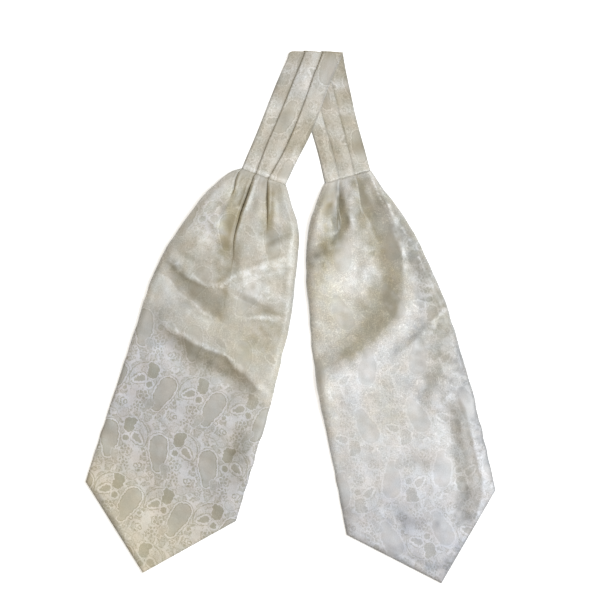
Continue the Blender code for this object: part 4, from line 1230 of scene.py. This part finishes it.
def damask_silk(side):
    """Cream silk damask: satin ground, matte motifs, a fine twill, soft colour drift, and painted
    shade, highlights and sheen.
    """
    silk = dict(zip(SILK_COLUMNS, SILKS[side]))
    material = bpy.data.materials.new(side + "_damask")
    material.use_nodes = True
    n = Nodes(material.node_tree)
    across, down, lustre = n.attribute("cloth")
    way = -1.0 if silk["turned"] else 1.0
    cloth_down = n.scaled(down, way, silk["turned"] or UNTURNED)
    damask = Damask(n, n.times(across, way), cloth_down, silk["solid"], silk["outline"])
    place = n.spot(across, down)

    # Pattern, as clearly as the painted lustre shows it, with white threads of painted sheen
    away = n.times(n.minus(damask.ground, 0.5), lustre)
    shown = n.scaled(away, silk["contrast"], 0.5, clamp=True)
    color = n.mix(shown, silk["satin"] + (1.0,), silk["matte"] + (1.0,))
    near = n.times(lustre, 7.0, clamp=True)
    quiet = n.times(n.times(n.minus(1.3, lustre, clamp=True), near), silk["lit"])
    color = n.mix(n.times(damask.threads, quiet), color, THREAD_WHITE)

    # Drift of colour, duller and yellower where the painted lustre is low
    dull = n.minus(0.9, lustre, clamp=True)
    color = n.mix(dull, color, n.tint(color, (0.99, 0.97, 0.885)))
    yellow = n.scaled(n.noise(place, 0.03, 2.0), 2.4, -0.9, clamp=True)
    yellow = n.times(yellow, n.scaled(dull, 0.5, 0.2))
    color = n.mix(yellow, color, n.tint(color, (1.02, 0.985, 0.86)))
    hue = n.noise(n.vector("ADD", place, (70.0, 0.0, 0.0)), 0.06, 2.0)
    cool, rosy = (n.tint(color, by) for by in ((0.98, 1.0, 1.03), (1.025, 0.985, 0.97)))
    color = n.mix(n.scaled(hue, 3.0, -1.0, clamp=True), cool, rosy)

    # Painted shade and highlights of the folds, and the warmer tip
    depth, warmth_and_tan_shade, grey_shade_amount = n.attribute("shade")
    for amount, strength, tint in (
        (warmth_and_tan_shade, 1.0, (1.22, 1.15, 0.95)),
        (warmth_and_tan_shade, -1.0, (1.0, 0.945, 0.76)),
        (depth, 1.0, silk["shade_tint"]),
        (depth, -0.5, (1.54, 1.60, 1.74)),
        (grey_shade_amount, 1.0, (0.49, 0.50, 0.515)),
    ):
        color = n.mix(n.times(amount, strength, clamp=True), color, n.tint(color, tint))
    grain = n.noise(n.vector("MULTIPLY", place, (1.6, 0.6, 1.0)), 0.9, 1.0)
    patch = n.noise(place, 0.055, 2.0, 0.6)
    bright = n.times(n.scaled(grain, 0.36, 0.82), n.scaled(patch, 0.36, 0.82))
    color = n.add("VectorMath", {0: color, "Scale": bright}, operation="SCALE")

    # Relief
    thread = n.add("TexWave", {"Vector": place, "Scale": 0.55}, "Fac", bands_direction="DIAGONAL")
    relief = n.scaled(damask.threads, 1.1, n.times(thread, 0.12))
    relief = n.scaled(damask.ground, -0.6, relief)
    relief = n.scaled(n.noise(place, 0.22, 5.0), 2.6, relief)
    shader = material.node_tree.nodes["Principled BSDF"]
    for name, value in (
        ("Base Color", n.vector("MINIMUM", color, (0.96, 0.96, 0.96))),
        ("Roughness", n.scaled(damask.ground, 0.15, 0.46)),
        ("IOR", 1.8),
        ("Coat Weight", 0.35),
        ("Coat Roughness", 0.55),
        ("Coat IOR", 1.7),
        ("Normal", n.add("Bump", {"Height": relief, "Strength": 0.5, "Distance": 0.15 * MM})),
    ):
        n.feed(shader.inputs[name], value)
    return material


def make_cravat():
    """Five shells of silk, each in place of one solid."""
    silks = {side: damask_silk(side) for side in SILKS}
    for side, blade, lustre in (("left", LEFT_BLADE, LEFT_LUSTRE),
                                ("right", RIGHT_BLADE, RIGHT_LUSTRE)):
        points, cloth = blade.back()
        back = cloth_shell(f"{side}_blade_back", points, cloth, 1.0, (0.0, 0.0, 0.0),
                           silks["back"])
        points, cloth, shade = blade.front()
        across, down = cloth[..., 0], cloth[..., 1]
        places, amounts = zip(*lustre)
        if side == "left":
            # The pattern's painted lustre fades along a slant and comes back beside the
            # gathers, and the silk is warmer and brighter at the tip and a little by the gathers
            contrast = np.interp(down - 0.35 * across, places, amounts)
            contrast += 0.35 * hill(down, 58.0, 34.0) * ease(-(across + 10.0) / 24.0)
            shade[..., 1] += ease((down - 0.4 * across - 308.0) / 100.0)
            shade[..., 1] += 0.2 * hill(down, 70.0, 40.0)
        else:
            contrast = np.interp(down, places, amounts)
            # Painted lustre that shows the pattern more clearly by the right edge, below the
            # gathers
            contrast += 0.9 * hill(down, 120.0, 60.0) * ease((across - 36.0) / 16.0)
        cloth_shell(f"{side}_blade_front", points, cloth, contrast, shade, silks[side])
    points, cloth, hollow, grey_shade = band()
    x, y = points[..., 0] / MM, points[..., 1] / MM
    # Painted tan shade below the top, and painted patches of sheen and shade
    tan = BAND_TAN * ease((BAND_TAN_TOP - y) / BAND_TAN_REACH)
    shade = np.stack([hollow + ripple("band_patches", y, x), -tan, grey_shade], axis=-1)
    cloth_shell("neckband", points, cloth, BAND_LUSTRE, shade, silks["band"],
                sewn_ends=2, wall=BAND_SHELL)


def make_studio():
    """White floor, a softbox high on the right and even warm fill."""
    bpy.ops.mesh.primitive_plane_add(size=8.0, location=(0.0, 0.0, -0.0002))
    floor = bpy.context.object
    floor.name = "floor"
    material = bpy.data.materials.new("floor_white")
    material.use_nodes = True
    shader = material.node_tree.nodes["Principled BSDF"]
    for name, value in (
        ("Base Color", (0.93, 0.93, 0.93, 1.0)),
        ("Roughness", 0.9),
        ("Specular IOR Level", 0.0),
        ("Emission Color", (1.0, 1.0, 1.0, 1.0)),
        ("Emission Strength", 0.55),
    ):
        shader.inputs[name].default_value = value
    floor.data.materials.append(material)

    light = bpy.data.lights.new("key_right", "AREA")
    light.shape = "RECTANGLE"
    light.size, light.size_y = 0.7, 0.9
    light.energy = 21.0
    light.color = COOL
    lamp = bpy.data.objects.new("key_right", light)
    lamp.location = KEY_PLACE
    lamp.rotation_euler = (-Vector(KEY_PLACE)).to_track_quat("-Z", "Y").to_euler()
    world = bpy.data.worlds.new("studio")
    world.use_nodes = True
    background = world.node_tree.nodes["Background"]
    background.inputs["Color"].default_value = WARM + (1.0,)
    background.inputs["Strength"].default_value = 0.36
    scene = bpy.context.scene
    scene.world = world
    scene.view_settings.view_transform = "Standard"
    scene.view_settings.look = "None"
    camera_data = bpy.data.cameras.new("camera")
    camera_data.lens = 100.0
    camera_data.sensor_width = 36.0
    camera = bpy.data.objects.new("camera", camera_data)
    camera.location = (0.0101, 0.0182, 1.775)
    for thing in (lamp, camera):
        scene.collection.objects.link(thing)
    scene.camera = camera


make_cravat()
make_studio()
